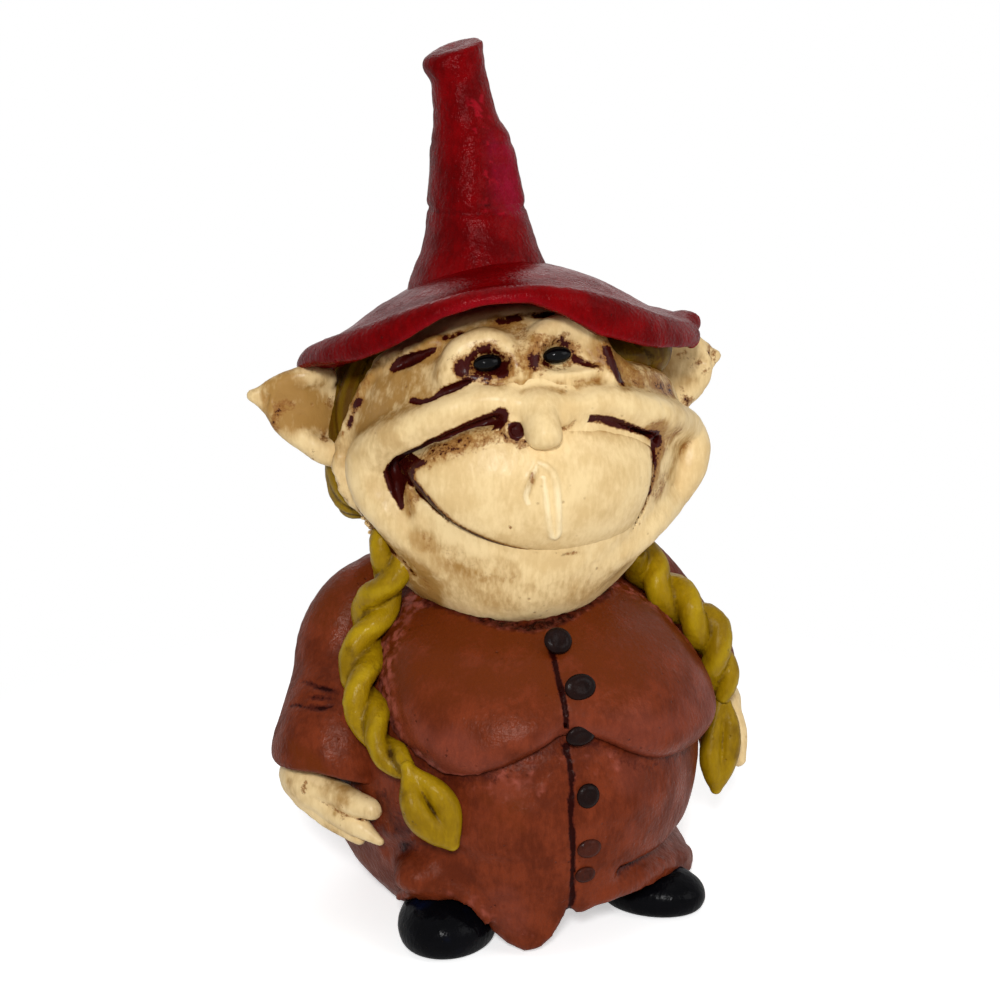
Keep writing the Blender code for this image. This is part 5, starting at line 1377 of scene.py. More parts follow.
@dataclass
class Hat:
    """The thick drooping brim and the tall crown that leans and steps in as it rises."""

    middle: tuple[float, float] = (2.1, -1.0)
    half_width: float = 46.6
    half_depth: float = 38.5
    crown: Path = (
        ((-1.6, 0.6, 138), 17.2), ((-1.6, 0.8, 142), 15.6), ((-1.5, 1.0, 146), 14.1),
        ((-1.5, 1.5, 151), 12.6), ((-1.7, 2.0, 156), 11.5), ((-1.8, 2.6, 160.4), 11.0),
        ((-1.9, 3.2, 166.5), 10.2), ((-2.3, 3.8, 172), 9.4), ((-2.9, 4.2, 175.6), 8.1),
        ((-3.4, 4.6, 180), 7.1), ((-4.2, 5.2, 187), 6.4), ((-4.9, 5.6, 192), 6.3), ((-5.2, 5.8, 200), 6.4))

    def brim(self) -> None:
        """Makes the brim."""
        clay = Clay((-52, -47, 116), (58, 47, 158), 0.8)
        x, y, z = spread(clay.axes)
        turn = math.radians(HEAD_TURN)
        u = (x - self.middle[0]) * math.cos(turn) + (y - self.middle[1]) * math.sin(turn)
        v = -(x - self.middle[0]) * math.sin(turn) + (y - self.middle[1]) * math.cos(turn)
        reach = np.sqrt((u / self.half_width) ** 2 + (v / self.half_depth) ** 2)
        lip = np.exp(-((reach - 0.94) / 0.06) ** 2)
        top = (148.2 + 0.027 * u - 0.0125 * u ** 2 + 1.97e-6 * u ** 4 - 0.155 * v - 0.0047 * v ** 2
               + 0.0029 * u * v)
        top = top + 0.8 * lip - 0.7 * np.exp(-((reach - 0.76) / 0.11) ** 2)
        widths = np.interp(u[:, :, 0], (-49, -44, -36, -28, -20, -11, -2, 5, 14, 25, 38, 46),
                           (4.4, 5.2, 7.4, 6.6, 4.4, 3.6, 4.0, 6.0, 9.0, 8.2, 5.4, 4.2))[:, :, None]
        solid = soft_max(soft_max(z - top, top - widths - z, 1.8), (reach - 1) * 38, 3.0)
        clay.join(solid)
        clay.add(ball((46.4, -4.6, 131.4), (3.8, 3.4, 3.0)), 1.6)
        clay.add(ball((48.2, -5.0, 127.4), (1.6, 1.8, 2.2), (0, 25, 0)), 1.0)
        clay.carve(roll([((47.0, -10.0, 128.8), 0.5), ((50.2, -5.5, 129.3), 0.8)]), 0.8)
        cast = clay.skin()
        p = cast.points
        cast.push(0.25 * rough(p, 8.0, 16) + 0.1 * rough(p, 2.0, 26))
        # painted highlight along the brim's crest and its other raised places
        cast.marks["highlight_and_pale"] = cast.raised(0.05, 0.22) * 0.8 * (p[:, 2] > 120)
        cast.marks["wash"] = cast.sunk(0.02, 0.14) * 0.5
        cast.show("hat_brim", HAT, "hat_red")

    def tower(self) -> None:
        """Makes the crown."""
        clay = Clay((-26, -22, 138), (22, 26, 200), 0.65)
        clay.add(roll(self.crown, steps=6))
        clay.add(ball((-9.2, 5.4, 191.6), (3.3, 4.6, 3.2)), 1.6)
        x, y, z = spread(clay.axes)
        clay.trim(z - 195.5 - 0.30 * (x + 5.5) - 0.05 * (y - 5), 1.6)
        clay.carve(ball((-6.4, 5.5, 199.0), (3.6, 4.4, 4.0)), 1.2)
        for lean, away, low, high in ((0.30, 9.4, 160.4, 173.5), (0.34, 7.4, 175.5, 199.0)):
            plane = (x + 1.9 + 0.09 * (z - 166)) * lean - (y - 3.2) * 0.95 - away + 0.1 * (z - low)
            band = fade(z, low - 1.6, low + 1.2) * (1 - fade(z, high, high + 3))
            clay.trim(np.where(band > 0.02, plane - (1 - band) * 6, -FAR), 1.2)
        cast = clay.skin()
        p = cast.points
        step = np.exp(-((p[:, 2] - 160.2 - 0.6 * grain(p, 6.0, 17)) / 0.8) ** 2)
        bend = np.exp(-((p[:, 2] - 174.6 - 0.8 * grain(p, 6.0, 27)) / 1.0) ** 2)
        cast.push(0.28 * rough(p, 5.0, 37) + 0.12 * rough(p, 1.8, 47) - 0.45 * step - 0.3 * bend)
        facet = cast.near(line(2.0, (3.0, -7.6, 158.6), (3.0, -7.0, 162.0)), 4.0)
        cast.marks["wash"] = (step * 0.3 + bend * 0.26 + cast.sunk(0.03, 0.16) * 0.4) * (1 - facet)
        # painted reflection: a pink sheen on the crown's front facet
        painted_sheen = cast.near([((4.6, -6.5, 163), 1.0), ((4.2, -4.6, 173), 1.0)], 8.0)
        cast.marks["tint"] = painted_sheen * (0.5 + 0.3 * rough(p, 3.0, 57))
        # painted glints on the crown's front, and painted highlight on its raised places
        painted_glints = cast.near(line(1.4, (-0.6, -9.0, 162.0), (-1.0, -6.4, 171.0), (-2.0, -3.0, 184.0)), 3.6)
        cast.marks["highlight_and_pale"] = cast.raised(0.08, 0.25) * 0.5 + painted_glints * patchy(p, 1.0, 67, 0.0, 0.5)
        cast.show("hat_crown", HAT, "hat_red")


@dataclass
class Trunk:
    """The coat, the bust over it, the sleeves, the hands and the shoes."""

    rings: tuple[tuple[float, float, float, float, float], ...] = (
        (-4, 29.0, 46.5, 49.5, 32.0), (0, 30.5, 46.0, 50.0, 33.0), (4, 33.5, 44.9, 50.5, 34.0),
        (8, 37.0, 42.0, 51.2, 34.8), (12, 39.3, 39.9, 52.3, 35.4), (15, 40.0, 39.2, 53.0, 35.7),
        (18, 40.8, 39.8, 53.6, 35.9), (22, 42.0, 43.0, 54.2, 36.0), (27, 43.4, 45.0, 55.0, 37.4),
        (34, 44.5, 45.6, 55.5, 39.0), (46, 43.6, 44.8, 52.6, 40.0), (57.9, 40.0, 40.6, 47.0, 37.0),
        (68, 34.0, 34.4, 38.9, 32.0), (76.1, 26.0, 26.0, 26.0, 25.0), (84, 14.0, 14.0, 14.0, 14.0))
    bust_outline: Drawing = (
        (-20.4, 76.2), (-25.8, 73.4), (-30.4, 68.4), (-33.5, 62.2), (-34.0, 56.0), (-33.1, 50.4),
        (-30.3, 47.0), (-26.7, 44.6), (-22.0, 44.0), (-17.0, 45.4), (-10.7, 47.9), (-5.1, 50.4),
        (-1.1, 52.0), (3.4, 51.4), (6.6, 50.6), (11.4, 48.0), (15.6, 45.6), (20.5, 43.4), (26.9, 42.0),
        (35.8, 41.2), (43.0, 42.0), (47.0, 46.2), (47.0, 51.6), (44.0, 56.4), (40.5, 60.5), (36.3, 65.5),
        (30.9, 70.5), (22.5, 75.2), (15.0, 75.4), (9.4, 74.4), (3.6, 73.2), (-1.4, 72.6), (-6.2, 73.0),
        (-10.5, 74.0), (-14.4, 75.2))

    bust_edge: tuple[Place, ...] = (
        (-19.7, -16.8, 76.0), (-25.8, -13.5, 72.8), (-30.4, -14.8, 68.4), (-33.5, -18.1, 62.2),
        (-33.8, -25.8, 56.0), (-33.1, -31.0, 50.1), (-30.3, -36.9, 47.3), (-26.7, -41.8, 44.6),
        (-22.0, -45.8, 44.3), (-17.0, -48.8, 45.6), (-10.7, -50.4, 47.9), (-5.1, -50.6, 50.7),
        (-1.1, -50.5, 52.4), (3.4, -50.7, 51.6), (6.6, -50.8, 50.9), (11.4, -51.1, 48.3),
        (15.6, -50.7, 45.8), (20.5, -48.9, 43.6), (26.9, -44.8, 42.4), (35.8, -35.3, 41.3),
        (43.3, -24.3, 41.2), (45.5, -21.5, 46.2), (45.2, -19.0, 51.6), (43.2, -17.7, 55.7),
        (40.5, -15.0, 59.5), (36.3, -12.7, 65.5), (30.9, -15.3, 70.5), (21.1, -21.3, 74.6))
    seam: Path = line(
        0.42, (-0.7, -42.5, 71.5), (-0.7, -46.1, 68.4), (-1.0, -50.8, 62.9), (-0.9, -53.5, 55.9),
        (-0.2, -50.5, 49.0), (0.2, -52.7, 42.9), (-0.7, -54.4, 34.5), (-0.2, -54.6, 29.0),
        (0.1, -53.7, 21.0), (0.4, -52.5, 14.0), (-0.1, -51.8, 11.5))
    neckline: tuple[Place, ...] = (
        (-20.6, -17.8, 76.4), (-16.4, -23.1, 75.8), (-12.2, -28.1, 74.5), (-8.7, -31.5, 73.4),
        (-3.7, -34.0, 72.7), (1.0, -33.8, 73.0), (6.3, -32.0, 73.9), (12.4, -28.2, 75.2),
        (19.1, -23.2, 76.0))

    def trunk_distance(self, clay: Clay, drop: float = 0) -> np.ndarray:
        """Signed distance from the pear-shaped trunk.

        Args:
            clay: the block whose grid is used.
            drop: how far its skin lies inside the coat's.

        Returns:
            One value per node of the grid.
        """
        x, y, z = spread(clay.axes)
        columns = [np.array(column, dtype=float) for column in zip(*self.rings)]
        level = clay.axes[2]
        spans = [np.interp(level, columns[0], column) - drop for column in columns[1:]]
        kernel = np.ones(5) / 5
        right, left, ahead, behind = (np.convolve(np.pad(v, 2, mode="edge"), kernel, "valid")[None, None, :]
                                      for v in spans)
        flap = np.exp(-((np.degrees(np.arctan2(x - COAT_MIDDLE, -y)) + 12) / 9) ** 2) * (1 - fade(z, 1, 15))
        half = np.where(x < COAT_MIDDLE, right, left)
        deep = np.where(y < 0, ahead * (1 + 0.035 * flap), behind)
        near = np.sqrt(((x - COAT_MIDDLE) / half) ** 2 + (y / deep) ** 2)
        far = np.sqrt(((x - COAT_MIDDLE) / half ** 2) ** 2 + (y / deep ** 2) ** 2)
        return near * (near - 1) / np.maximum(far, 1e-6)

    def coat(self) -> None:
        """Makes the coat with its raised hem, its folds and its front seam."""
        clay = Clay((-50, -62, -2), (53, 46, 86), 0.8)
        x, y, z = spread(clay.axes)
        angle = np.degrees(np.arctan2(x - COAT_MIDDLE, -y))
        table = [(-180, 1), (-120, 1), (-75, 1.2), (-62, 1.6), (-56, 3.5), (-49, 8.4), (-41, 12.8),
                 (-35.5, 14.6), (-31, 14.2), (-26.5, 12.3), (-23.5, 8.6), (-21, 5.0), (-17, 2.4),
                 (-12.5, 1.0), (-8.5, 2.2), (-6, 4.2), (-3.5, 8.4), (-2.2, 11.2), (-0.8, 11.4), (0.6, 9.9),
                 (2.4, 9.6), (5, 10.6), (10.8, 11.8), (15, 11.8), (24, 11.2), (32, 10.2), (42, 7.6),
                 (50, 4.6), (58, 2.4), (75, 1.2), (180, 1)]
        hem = np.interp(angle, [a for a, _ in table], [h for _, h in table])
        skirt = soft_max(self.trunk_distance(clay), hem - z, 1.4)
        inner = ball((2.0, 3.0, 6.0), (29.0, 27.0, 40.0)).distance(clay.axes)
        inner = soft_max(inner, np.maximum(0.2 - z, z - 24), 0.6)
        clay.join(soft_max(soft_min(skirt, inner, 1.5), z - 81, 3))
        clay.add(ball((-27.4, -36.2, 17.4), (8.6, 6.4, 4.8), (0, 10, 20)), 6)
        clay.add(roll([((-32.4, -29.0, 9.6), 1.2), ((-29.6, -35.6, 14.0), 1.5), ((-25.0, -41.2, 16.4), 1.6),
                       ((-20.8, -44.8, 14.2), 1.5), ((-17.6, -46.8, 9.4), 1.1)]), 2.4)
        clay.add(roll([((41.4, -19.0, 4.6), 1.6), ((35.6, -29.0, 8.6), 1.8), ((27.6, -38.4, 12.0), 1.8),
                       ((18.6, -46.2, 13.4), 1.6), ((9.0, -51.0, 13.4), 1.0)]), 2.6)
        clay.carve(roll([((40.2, -15.0, 13.6), 2.0), ((34.6, -29.5, 16.0), 2.0), ((24.8, -41.4, 17.6), 1.7),
                         ((13.0, -50.4, 18.0), 1.0)]), 3.4)
        clay.carve(roll([((-35.0, -27.0, 20.0), 0.8), ((-31.6, -36.0, 24.6), 1.2),
                         ((-25.4, -43.6, 26.0), 1.3), ((-20.0, -48.6, 23.6), 0.9),
                         ((-12.0, -53.4, 24.0), 0.5)]), 2.6)
        clay.carve(roll([((-19.0, -47.6, 14.6), 0.4), ((-15.0, -50.6, 11.6), 0.9),
                         ((-10.8, -52.4, 10.2), 0.4)]), 1.6)
        seam = clay.settle(self.seam)
        clay.carve(roll(seam), 0.3)
        cast = clay.skin()
        p = cast.points
        crumbs = cast.near([((-32.4, -30.0, 9.0), 1.0), ((-29.6, -36.6, 13.6), 1.2),
                            ((-25.0, -42.2, 15.4), 1.2), ((-20.8, -45.8, 13.0), 1.2),
                            ((-17.0, -48.4, 7.6), 1.4)], 2.4)
        crumbs += cast.near([((35.6, -31.0, 9.6), 1.0), ((27.6, -39.8, 12.4), 1.2),
                             ((18.6, -47.2, 13.4), 0.8)], 2.2)
        belly = cast.near([((-18.0, -50, 44.0), 3.0), ((-9.0, -53, 43.5), 3.0), ((9.0, -53, 45.0), 1.0)],
                          6.0)
        speckle = cast.near([((-13.0, -53, 8.0), 2.0), ((-10.0, -53, 6.0), 2.0)], 5.0)
        cast.push(0.26 * rough(p, 9.0, 18) + 0.09 * rough(p, 2.5, 28) + crumbs * 0.4 * rough(p, 1.6, 38)
                  + (belly + speckle) * 0.2 * rough(p, 1.6, 48))
        # the large-hollow term is painted shade
        wash = cast.sunk(0.03, 0.2) * 0.4 + fade(cast.marks["dell"], 0.05, 0.3) * 0.26
        # painted shade under the bust's lower edge
        under = cast.near([((x, y, z - 1.2), 0.8) for x, y, z in self.bust_edge[6:20]], 3.6)
        wash += under * 0.3 + patchy(p, 7.0, 68, 0.35, 0.9) * 0.22 + cast.near(seam, 0.5) * 0.95
        # painted shadow of the right hand on the coat
        wash += cast.near(line(1.5, (-35.5, -29.5, 33.5), (-33.5, -33.5, 29.5), (-33.5, -34.0, 24.0)),
                          3.5) * 0.34
        cast.marks["wash"] = wash
        # painted glints on the hem's crumbs, painted highlight speckles on the belly, then paler patches
        cast.marks["highlight_and_pale"] = crumbs * 0.5 * patchy(p, 1.4, 78, -0.2, 0.6)
        cast.marks["highlight_and_pale"] += (belly + speckle) * 0.5 * patchy(p, 1.0, 98, 0.0, 0.8)
        cast.marks["highlight_and_pale"] += patchy(p, 14.0, 88, -0.1, 0.7) * 0.34
        cast.marks["tint"] = patchy(p, 12.0, 58, 0.0, 0.7) * 0.6
        cast.show("coat", COAT, "coat_brick")

    def bust(self) -> None:
        """Makes the slab of the bust with its two low breasts."""
        clay = Clay((-40, -62, 36), (51, -4, 80), 0.65)
        x, _, level = spread(clay.axes)
        slab = outline(self.bust_outline, (-90, 90))
        inside = -slab.distance((clay.axes[0], np.zeros(1), clay.axes[2]))
        soft_edge = np.interp(level, (45, 56, 68), (9.0, 6.0, 2.4))
        full = np.interp(level, (42, 49, 56, 62, 68, 76), (6.4, 7.2, 7.6, 7.2, 5.6, 2.8))
        full = full - 2.0 * np.exp(-((x + 0.6) / 4.5) ** 2) * (1 - fade(level, 54, 62))
        share = np.clip(inside / soft_edge, 0, 1)
        thick = np.where(inside > 0, full * np.sqrt(np.maximum(1 - (1 - share) ** 2, 0)), inside * 2)
        trunk = self.trunk_distance(clay)
        clay.field = soft_max(trunk - thick, -trunk - 8, 1).astype(np.float32)
        clay.keep(outline(self.bust_outline, (-90, -5)))
        seam = clay.settle(self.seam)
        clay.carve(roll(seam), 0.3)
        cast = clay.skin()
        p = cast.points
        neck = [((x, y - 1.0, z - 0.8), 0.9) for x, y, z in self.neckline]
        border = clay.sample(np.broadcast_to(inside, clay.field.shape), p)
        bordered = np.maximum(fade(p[:, 2], 52, 58), fade(-p[:, 0], 18, 22)) * fade(-p[:, 1], 8, 11)
        crumbs = np.clip((1 - fade(border, 0.5, 1.5)) * bordered + cast.near(neck, 2.6), 0, 1)
        cast.push(0.16 * rough(p, 9.0, 19) + 0.05 * rough(p, 2.5, 29)
                  + crumbs * (0.2 + 0.5 * rough(p, 1.5, 39)))
        # darker along the neckline where the chin overhangs it: painted shade
        wash = cast.sunk(0.04, 0.22) * 0.35 + cast.near(neck, 3.0) * 0.45
        wash += crumbs * 0.12 + patchy(p, 5.0, 69, 0.45, 0.95) * 0.2 + cast.near(seam, 0.5) * 0.95
        cast.marks["wash"] = wash
        # the upper slope is darker and the lower breasts lighter: painted shade and painted highlight
        upper = fade(p[:, 2], 52, 68)
        # painted glints on the crumbly edge
        cast.marks["highlight_and_pale"] = crumbs * patchy(p, 1.2, 79, -0.4, 0.4)
        cast.marks["highlight_and_pale"] += (1 - upper) * patchy(p, 12, 89, -0.6, 0.5) * 0.42
        cast.marks["tint"] = upper * 0.75 + patchy(p, 10.0, 59, 0.2, 0.9) * 0.25
        cast.show("bust", COAT, "coat_brick")

    def sleeve(self, side: Side) -> None:
        """Makes one sleeve with its bell cuff.

        Args:
            side: whose sleeve.
        """
        if side is Side.RIGHT:
            stations = [((-27.0, 3.0, 74.0), 7.0), ((-32.6, 2.0, 69.6), 8.6), ((-36.8, 0.5, 62.0), 10.0),
                        ((-38.4, -3.0, 54.0), 10.8), ((-40.2, -8.0, 46.5), 13.0),
                        ((-41.4, -10.6, 40.0), 14.8), ((-41.4, -11.6, 34.0), 15.2)]
            low, high = (-60, -32, 26), (-16, 20, 86)
            wrinkles = ([((-49.6, -9.6, 57.4), 0.2), ((-46.8, -13.6, 57.0), 0.5),
                         ((-44.2, -15.0, 55.8), 0.65), ((-42.0, -15.4, 54.2), 0.3)],
                        [((-49.4, -13.0, 54.0), 0.15), ((-46.4, -15.4, 54.2), 0.4),
                         ((-43.0, -16.6, 53.4), 0.3)],
                        [((-51.2, -11.0, 51.4), 0.2), ((-48.2, -15.2, 52.0), 0.4),
                         ((-45.4, -16.6, 51.4), 0.55), ((-43.2, -17.2, 51.8), 0.3)])
            mouth = ball((-43.0, -12.0, 32.6), (11.4, 11.4, 6.4))
        else:
            stations = [((30.5, 3.0, 73.0), 8.5), ((36.0, 3.5, 69.0), 10.0), ((41.5, 3.5, 61.0), 11.0),
                        ((45.5, 2.0, 53.0), 12.0), ((48.5, 0.0, 46.5), 12.8)]
            low, high = (18, -20, 30), (66, 22, 86)
            wrinkles = ([((54.0, -8.0, 57.0), 0.3), ((57.0, -4.0, 57.6), 0.45), ((58.0, 1.0, 57.2), 0.2)],)
            mouth = ball((49.5, -2.0, 37.0), (9.5, 9.5, 7.0))
        clay = Clay(low, high, 0.75)
        clay.add(roll(stations))
        x, y, z = spread(clay.axes)
        if side is Side.RIGHT:
            cuff = 38.4 - 0.34 * np.maximum(x + 49, 0) - 0.10 * np.minimum(y + 12, 0)
        else:
            cuff = 41.0 + 0.16 * (x - 48.5) + 0.24 * (y + 2)
        clay.trim(cuff - z, 1.6)
        clay.carve(mouth, 1.2)
        wrinkles = [clay.settle(wrinkle) for wrinkle in wrinkles]
        for wrinkle in wrinkles:
            clay.carve(roll(wrinkle), 1.0)
        cast = clay.skin()
        p = cast.points
        cast.push(0.3 * rough(p, 8.0, 20) + 0.08 * rough(p, 2.2, 30))
        wash = cast.sunk(0.03, 0.18) * 0.6
        broken = patchy(p, 2.4, 70, -0.8, 0.1)
        for wrinkle in wrinkles:
            wash = wash + cast.near(wrinkle, 0.9) * (0.4 if side is Side.RIGHT else 0.15) * broken
        cast.marks["wash"] = wash
        cast.marks["tint"] = patchy(p, 10.0, 60, -0.1, 0.7) * 0.7
        # painted highlight on the bulges
        cast.marks["highlight_and_pale"] = cast.raised(0.08, 0.25) * 0.35
        cast.show(side.word + "_sleeve", COAT, "coat_brick")

    def hand(self, side: Side) -> None:
        """Makes one hand laid against the coat.

        Args:
            side: whose hand.
        """
        if side is Side.RIGHT:
            fingers = [
                [((-48.4, -14.0, 34.4), 3.2), ((-44.7, -19.0, 32.9), 3.1), ((-41.0, -24.0, 31.6), 2.9),
                 ((-37.9, -27.2, 30.9), 2.5)],
                [((-48.8, -13.0, 31.2), 3.0), ((-44.4, -19.0, 28.4), 3.1), ((-40.8, -24.2, 26.4), 2.6),
                 ((-36.8, -29.4, 23.9), 1.0)],
                [((-49.3, -12.0, 29.0), 2.6), ((-45.5, -17.0, 25.8), 2.3), ((-41.9, -21.0, 23.7), 1.9),
                 ((-40.0, -23.4, 22.5), 1.4)]]
            palm = ball((-49.0, -10.5, 33.5), (5.6, 8.0, 6.0), (0, -20, 10))
            low, high = (-60, -36, 14), (-28, 2, 44)
        else:
            fingers = [
                [((57.2, -7.0, 37.0), 2.8), ((58.4, -11.0, 31.0), 2.5), ((57.4, -14.0, 25.0), 2.0)],
                [((53.6, -8.0, 37.0), 2.7), ((54.6, -12.0, 30.0), 2.5), ((54.0, -15.0, 24.0), 1.9)],
                [((50.2, -7.0, 36.0), 2.5), ((50.6, -11.5, 29.5), 2.2), ((50.0, -14.0, 24.0), 1.7)]]
            palm = ball((55.0, -5.0, 37.5), (6.4, 6.2, 5.6))
            low, high = (44, -22, 16), (66, 6, 48)
        clay = Clay(low, high, 0.5)
        clay.add(palm)
        knit = Clay(low, high, 0.5)
        for finger in fingers:
            knit.add(roll(finger), 0.5)
        clay.join(knit.field, 1.8)
        cast = clay.skin()
        p = cast.points
        cast.push(0.1 * rough(p, 2.5, 22) + 0.05 * rough(p, 1.0, 32))
        wash = cast.sunk(0.05, 0.25) * 0.7 + patchy(p, 3.0, 42, 0.25, 0.9) * 0.4
        cast.marks["wash"] = wash
        cast.marks["tint"] = patchy(p, 5.0, 52, -0.1, 0.7) * 0.6
        cast.show(side.word + "_hand", SKIN, "skin_cream")

    def shoe(self, side: Side) -> None:
        """Makes one round-toed shoe.

        Args:
            side: whose shoe.
        """
        if side is Side.RIGHT:
            place, tilt, low, high = (-22.6, -33.6, 4.2), (0, 0, -30), (-40, -54, -2), (-6, -12, 18)
            radii = (11.2, 13.6, 8.6)
        else:
            place, tilt, low, high = (27.4, -33.2, 3.5), (0, 0, 48), (8, -54, -2), (48, -12, 18)
            radii = (9.2, 12.6, 6.7)
        clay = Clay(low, high, 0.55)
        clay.add(ball(place, radii, tilt))
        clay.trim(0.05 - spread(clay.axes)[2], 1.4)
        cast = clay.skin()
        p = cast.points
        above = fade(p[:, 2], 0.5, 3.0)
        cast.push(above * (0.18 * rough(p, 5.0, 23) + 0.05 * rough(p, 1.5, 33)))
        cast.points[:, 2] = np.maximum(cast.points[:, 2], 0.0)
        # painted reflection: bluish patches
        cast.marks["tint"] = patchy(p, 6.0, 43, 0.1, 0.8) * 0.6
        cast.show(side.word + "_shoe", SHOE, "shoe_black")


# Braids, buttons and crumbs are grown by node trees


def plain_mesh(source: bpy.types.Object) -> bpy.types.Mesh:
    """The mesh that an object's modifiers make."""
    graph = bpy.context.evaluated_depsgraph_get()
    return bpy.data.meshes.new_from_object(source.evaluated_get(graph), depsgraph=graph)


class Growth:
    """A geometry node tree with named inputs, run once and kept as plain mesh."""

    def __init__(self, name: str, inputs: dict[str, str]) -> None:
        """Starts the tree.

        Args:
            name: its name.
            inputs: the kind of each input by name; geometry and a material are added to them.
        """
        self.tree = bpy.data.node_groups.new(name, "GeometryNodeTree")
        self.tree.interface.new_socket("Geometry", in_out="OUTPUT", socket_type="NodeSocketGeometry")
        self.sockets = {}
        for label, kind in {"Geometry": "Geometry", **inputs, "Material": "Material"}.items():
            socket = self.tree.interface.new_socket(label, in_out="INPUT", socket_type="NodeSocket" + kind)
            self.sockets[label] = socket.identifier
        self.wires = Wiring(self.tree)
        self.given = self.wires.put("NodeGroupInput").outputs
        self.end = self.wires.put("NodeGroupOutput")

    def close(self, geometry: bpy.types.NodeSocket) -> "Growth":
        """Ends the tree in real geometry with its material, and gives the growth back."""
        real = self.wires.put("GeometryNodeRealizeInstances", {0: geometry})
        smooth = self.wires.put("GeometryNodeSetShadeSmooth", {0: real.outputs[0]})
        done = self.wires.put("GeometryNodeSetMaterial", {"Geometry": smooth.outputs[0],
                                                          "Material": self.given["Material"]})
        self.wires.link(done.outputs[0], self.end.inputs[0])
        return self

    def grow(self, seedling: bpy.types.Object, paint: Paint, values: dict[str, float]) -> bpy.types.Object:
        """Runs the tree on an object and keeps the result as a plain mesh object.

        Args:
            seedling: the curve or points that it starts from; it is removed.
            paint: the finish.
            values: input values by name.

        Returns:
            The new object, with the seedling's name.
        """
        modifier = seedling.modifiers.new("growth", "NODES")
        modifier.node_group = self.tree
        for label, value in {**values, "Material": paint.material()}.items():
            modifier[self.sockets[label]] = value
        bpy.context.view_layer.update()
        mesh = plain_mesh(seedling)
        mesh.name = seedling.name
        bpy.data.objects.remove(seedling)
        return new_object(mesh.name, mesh)


def curve_object(name: str, stations: Path, steps: int = 6) -> bpy.types.Object:
    """A poly curve through stations, with their widths as its radius.

    Args:
        name: the object's name.
        stations: places and half widths.
        steps: straight pieces between two stations.

    Returns:
        The curve object.
    """
    points, widths = smooth_path(stations, steps)
    data = bpy.data.curves.new(name, "CURVE")
    data.dimensions = "3D"
    data.twist_mode = "MINIMUM"
    spline = data.splines.new("POLY")
    spline.points.add(len(points) - 1)
    for target, place, width in zip(spline.points, points, widths):
        target.co = (*(place * MM), 1)
        target.radius = width
    return new_object(name, data)


def braid_growth() -> Growth:
    """Two soft strands wound round a curve; the curve's radius swells and thins them."""
    made = Growth("braid_of_two_strands", {"Strand Radius": "Float", "Orbit": "Float",
                                           "Turn Length": "Float", "Start Turn": "Float"})
    w, given = made.wires, made.given
    width = w.put("GeometryNodeInputRadius").outputs[0]
    normal = w.put("GeometryNodeInputNormal").outputs[0]
    across = w.vector("CROSS_PRODUCT", w.put("GeometryNodeInputTangent").outputs[0], normal)
    along = w.put("GeometryNodeSplineParameter").outputs["Length"]
    turns = w.plus(w.reckon("DIVIDE", along, given["Turn Length"]), given["Start Turn"])
    arm = w.times(given["Orbit"], width)
    joined = w.put("GeometryNodeJoinGeometry")
    for strand in (0.0, 0.5):
        angle = w.times(w.plus(turns, strand), 2 * math.pi)
        shift = w.vector("ADD", w.scaled(normal, w.times(arm, w.reckon("COSINE", angle))),
                         w.scaled(across, w.times(arm, w.reckon("SINE", angle))))
        fine = w.put("GeometryNodeResampleCurve", {"Curve": given["Geometry"], "Count": 150})
        wound = w.put("GeometryNodeSetPosition", {"Geometry": fine.outputs[0], "Offset": shift})
        ring = w.put("GeometryNodeCurvePrimitiveCircle",
                     {"Resolution": 20, "Radius": given["Strand Radius"]})
        skin = w.put("GeometryNodeCurveToMesh",
                     {"Curve": wound.outputs[0], "Profile Curve": ring.outputs[0],
                      "Fill Caps": True})
        if "Scale" in skin.inputs:
            w.link(width, skin.inputs["Scale"])
        w.link(skin.outputs[0], joined.inputs[0])
    return made.close(joined.outputs[0])


def crumb_growth() -> Growth:
    """Crumbs of clay scattered along a curve."""
    made = Growth("clay_crumbs", {"Count": "Int", "Spread": "Float", "Size": "Float", "Seed": "Int",
                                  "Wash": "Float"})
    w, given = made.wires, made.given

    def chance(low: Place, high: Place) -> bpy.types.NodeSocket:
        """A random vector for each crumb."""
        return w.put("FunctionNodeRandomValue", {"Min": low, "Max": high, "Seed": given["Seed"]},
                     data_type="FLOAT_VECTOR").outputs[0]

    dots = w.put("GeometryNodeCurveToPoints", {"Curve": given["Geometry"], "Count": given["Count"]})
    offset = w.scaled(chance((-1, -1, -1), (1, 1, 1)), given["Spread"])
    strewn = w.put("GeometryNodeSetPosition", {"Geometry": dots.outputs[0], "Offset": offset})
    lump = w.put("GeometryNodeMeshIcoSphere", {"Radius": 1.0, "Subdivisions": 2})
    set_out = w.put("GeometryNodeInstanceOnPoints", {
        "Points": strewn.outputs[0], "Instance": lump.outputs[0],
        "Rotation": chance((0, 0, 0), (6.28, 6.28, 6.28)),
        "Scale": w.scaled(chance((0.5, 0.5, 0.35), (1.5, 1.1, 0.9)), given["Size"])})
    real = w.put("GeometryNodeRealizeInstances", {0: set_out.outputs[0]})
    place = w.put("GeometryNodeInputPosition").outputs[0]
    bumps = w.put("ShaderNodeTexNoise", {"Vector": place, "Scale": 900.0, "Detail": 1.0},
                  noise_dimensions="3D")
    lift = w.times(w.less(bumps.outputs[0], 0.5), w.times(given["Size"], 0.9))
    lumpy = w.put("GeometryNodeSetPosition", {
        "Geometry": real.outputs[0], "Offset": w.scaled(w.put("GeometryNodeInputNormal").outputs[0], lift)})
    stained = w.put("GeometryNodeStoreNamedAttribute", {"Geometry": lumpy.outputs[0], "Name": "wash",
                                                        "Value": given["Wash"]}, data_type="FLOAT")
    return made.close(stained.outputs[0])


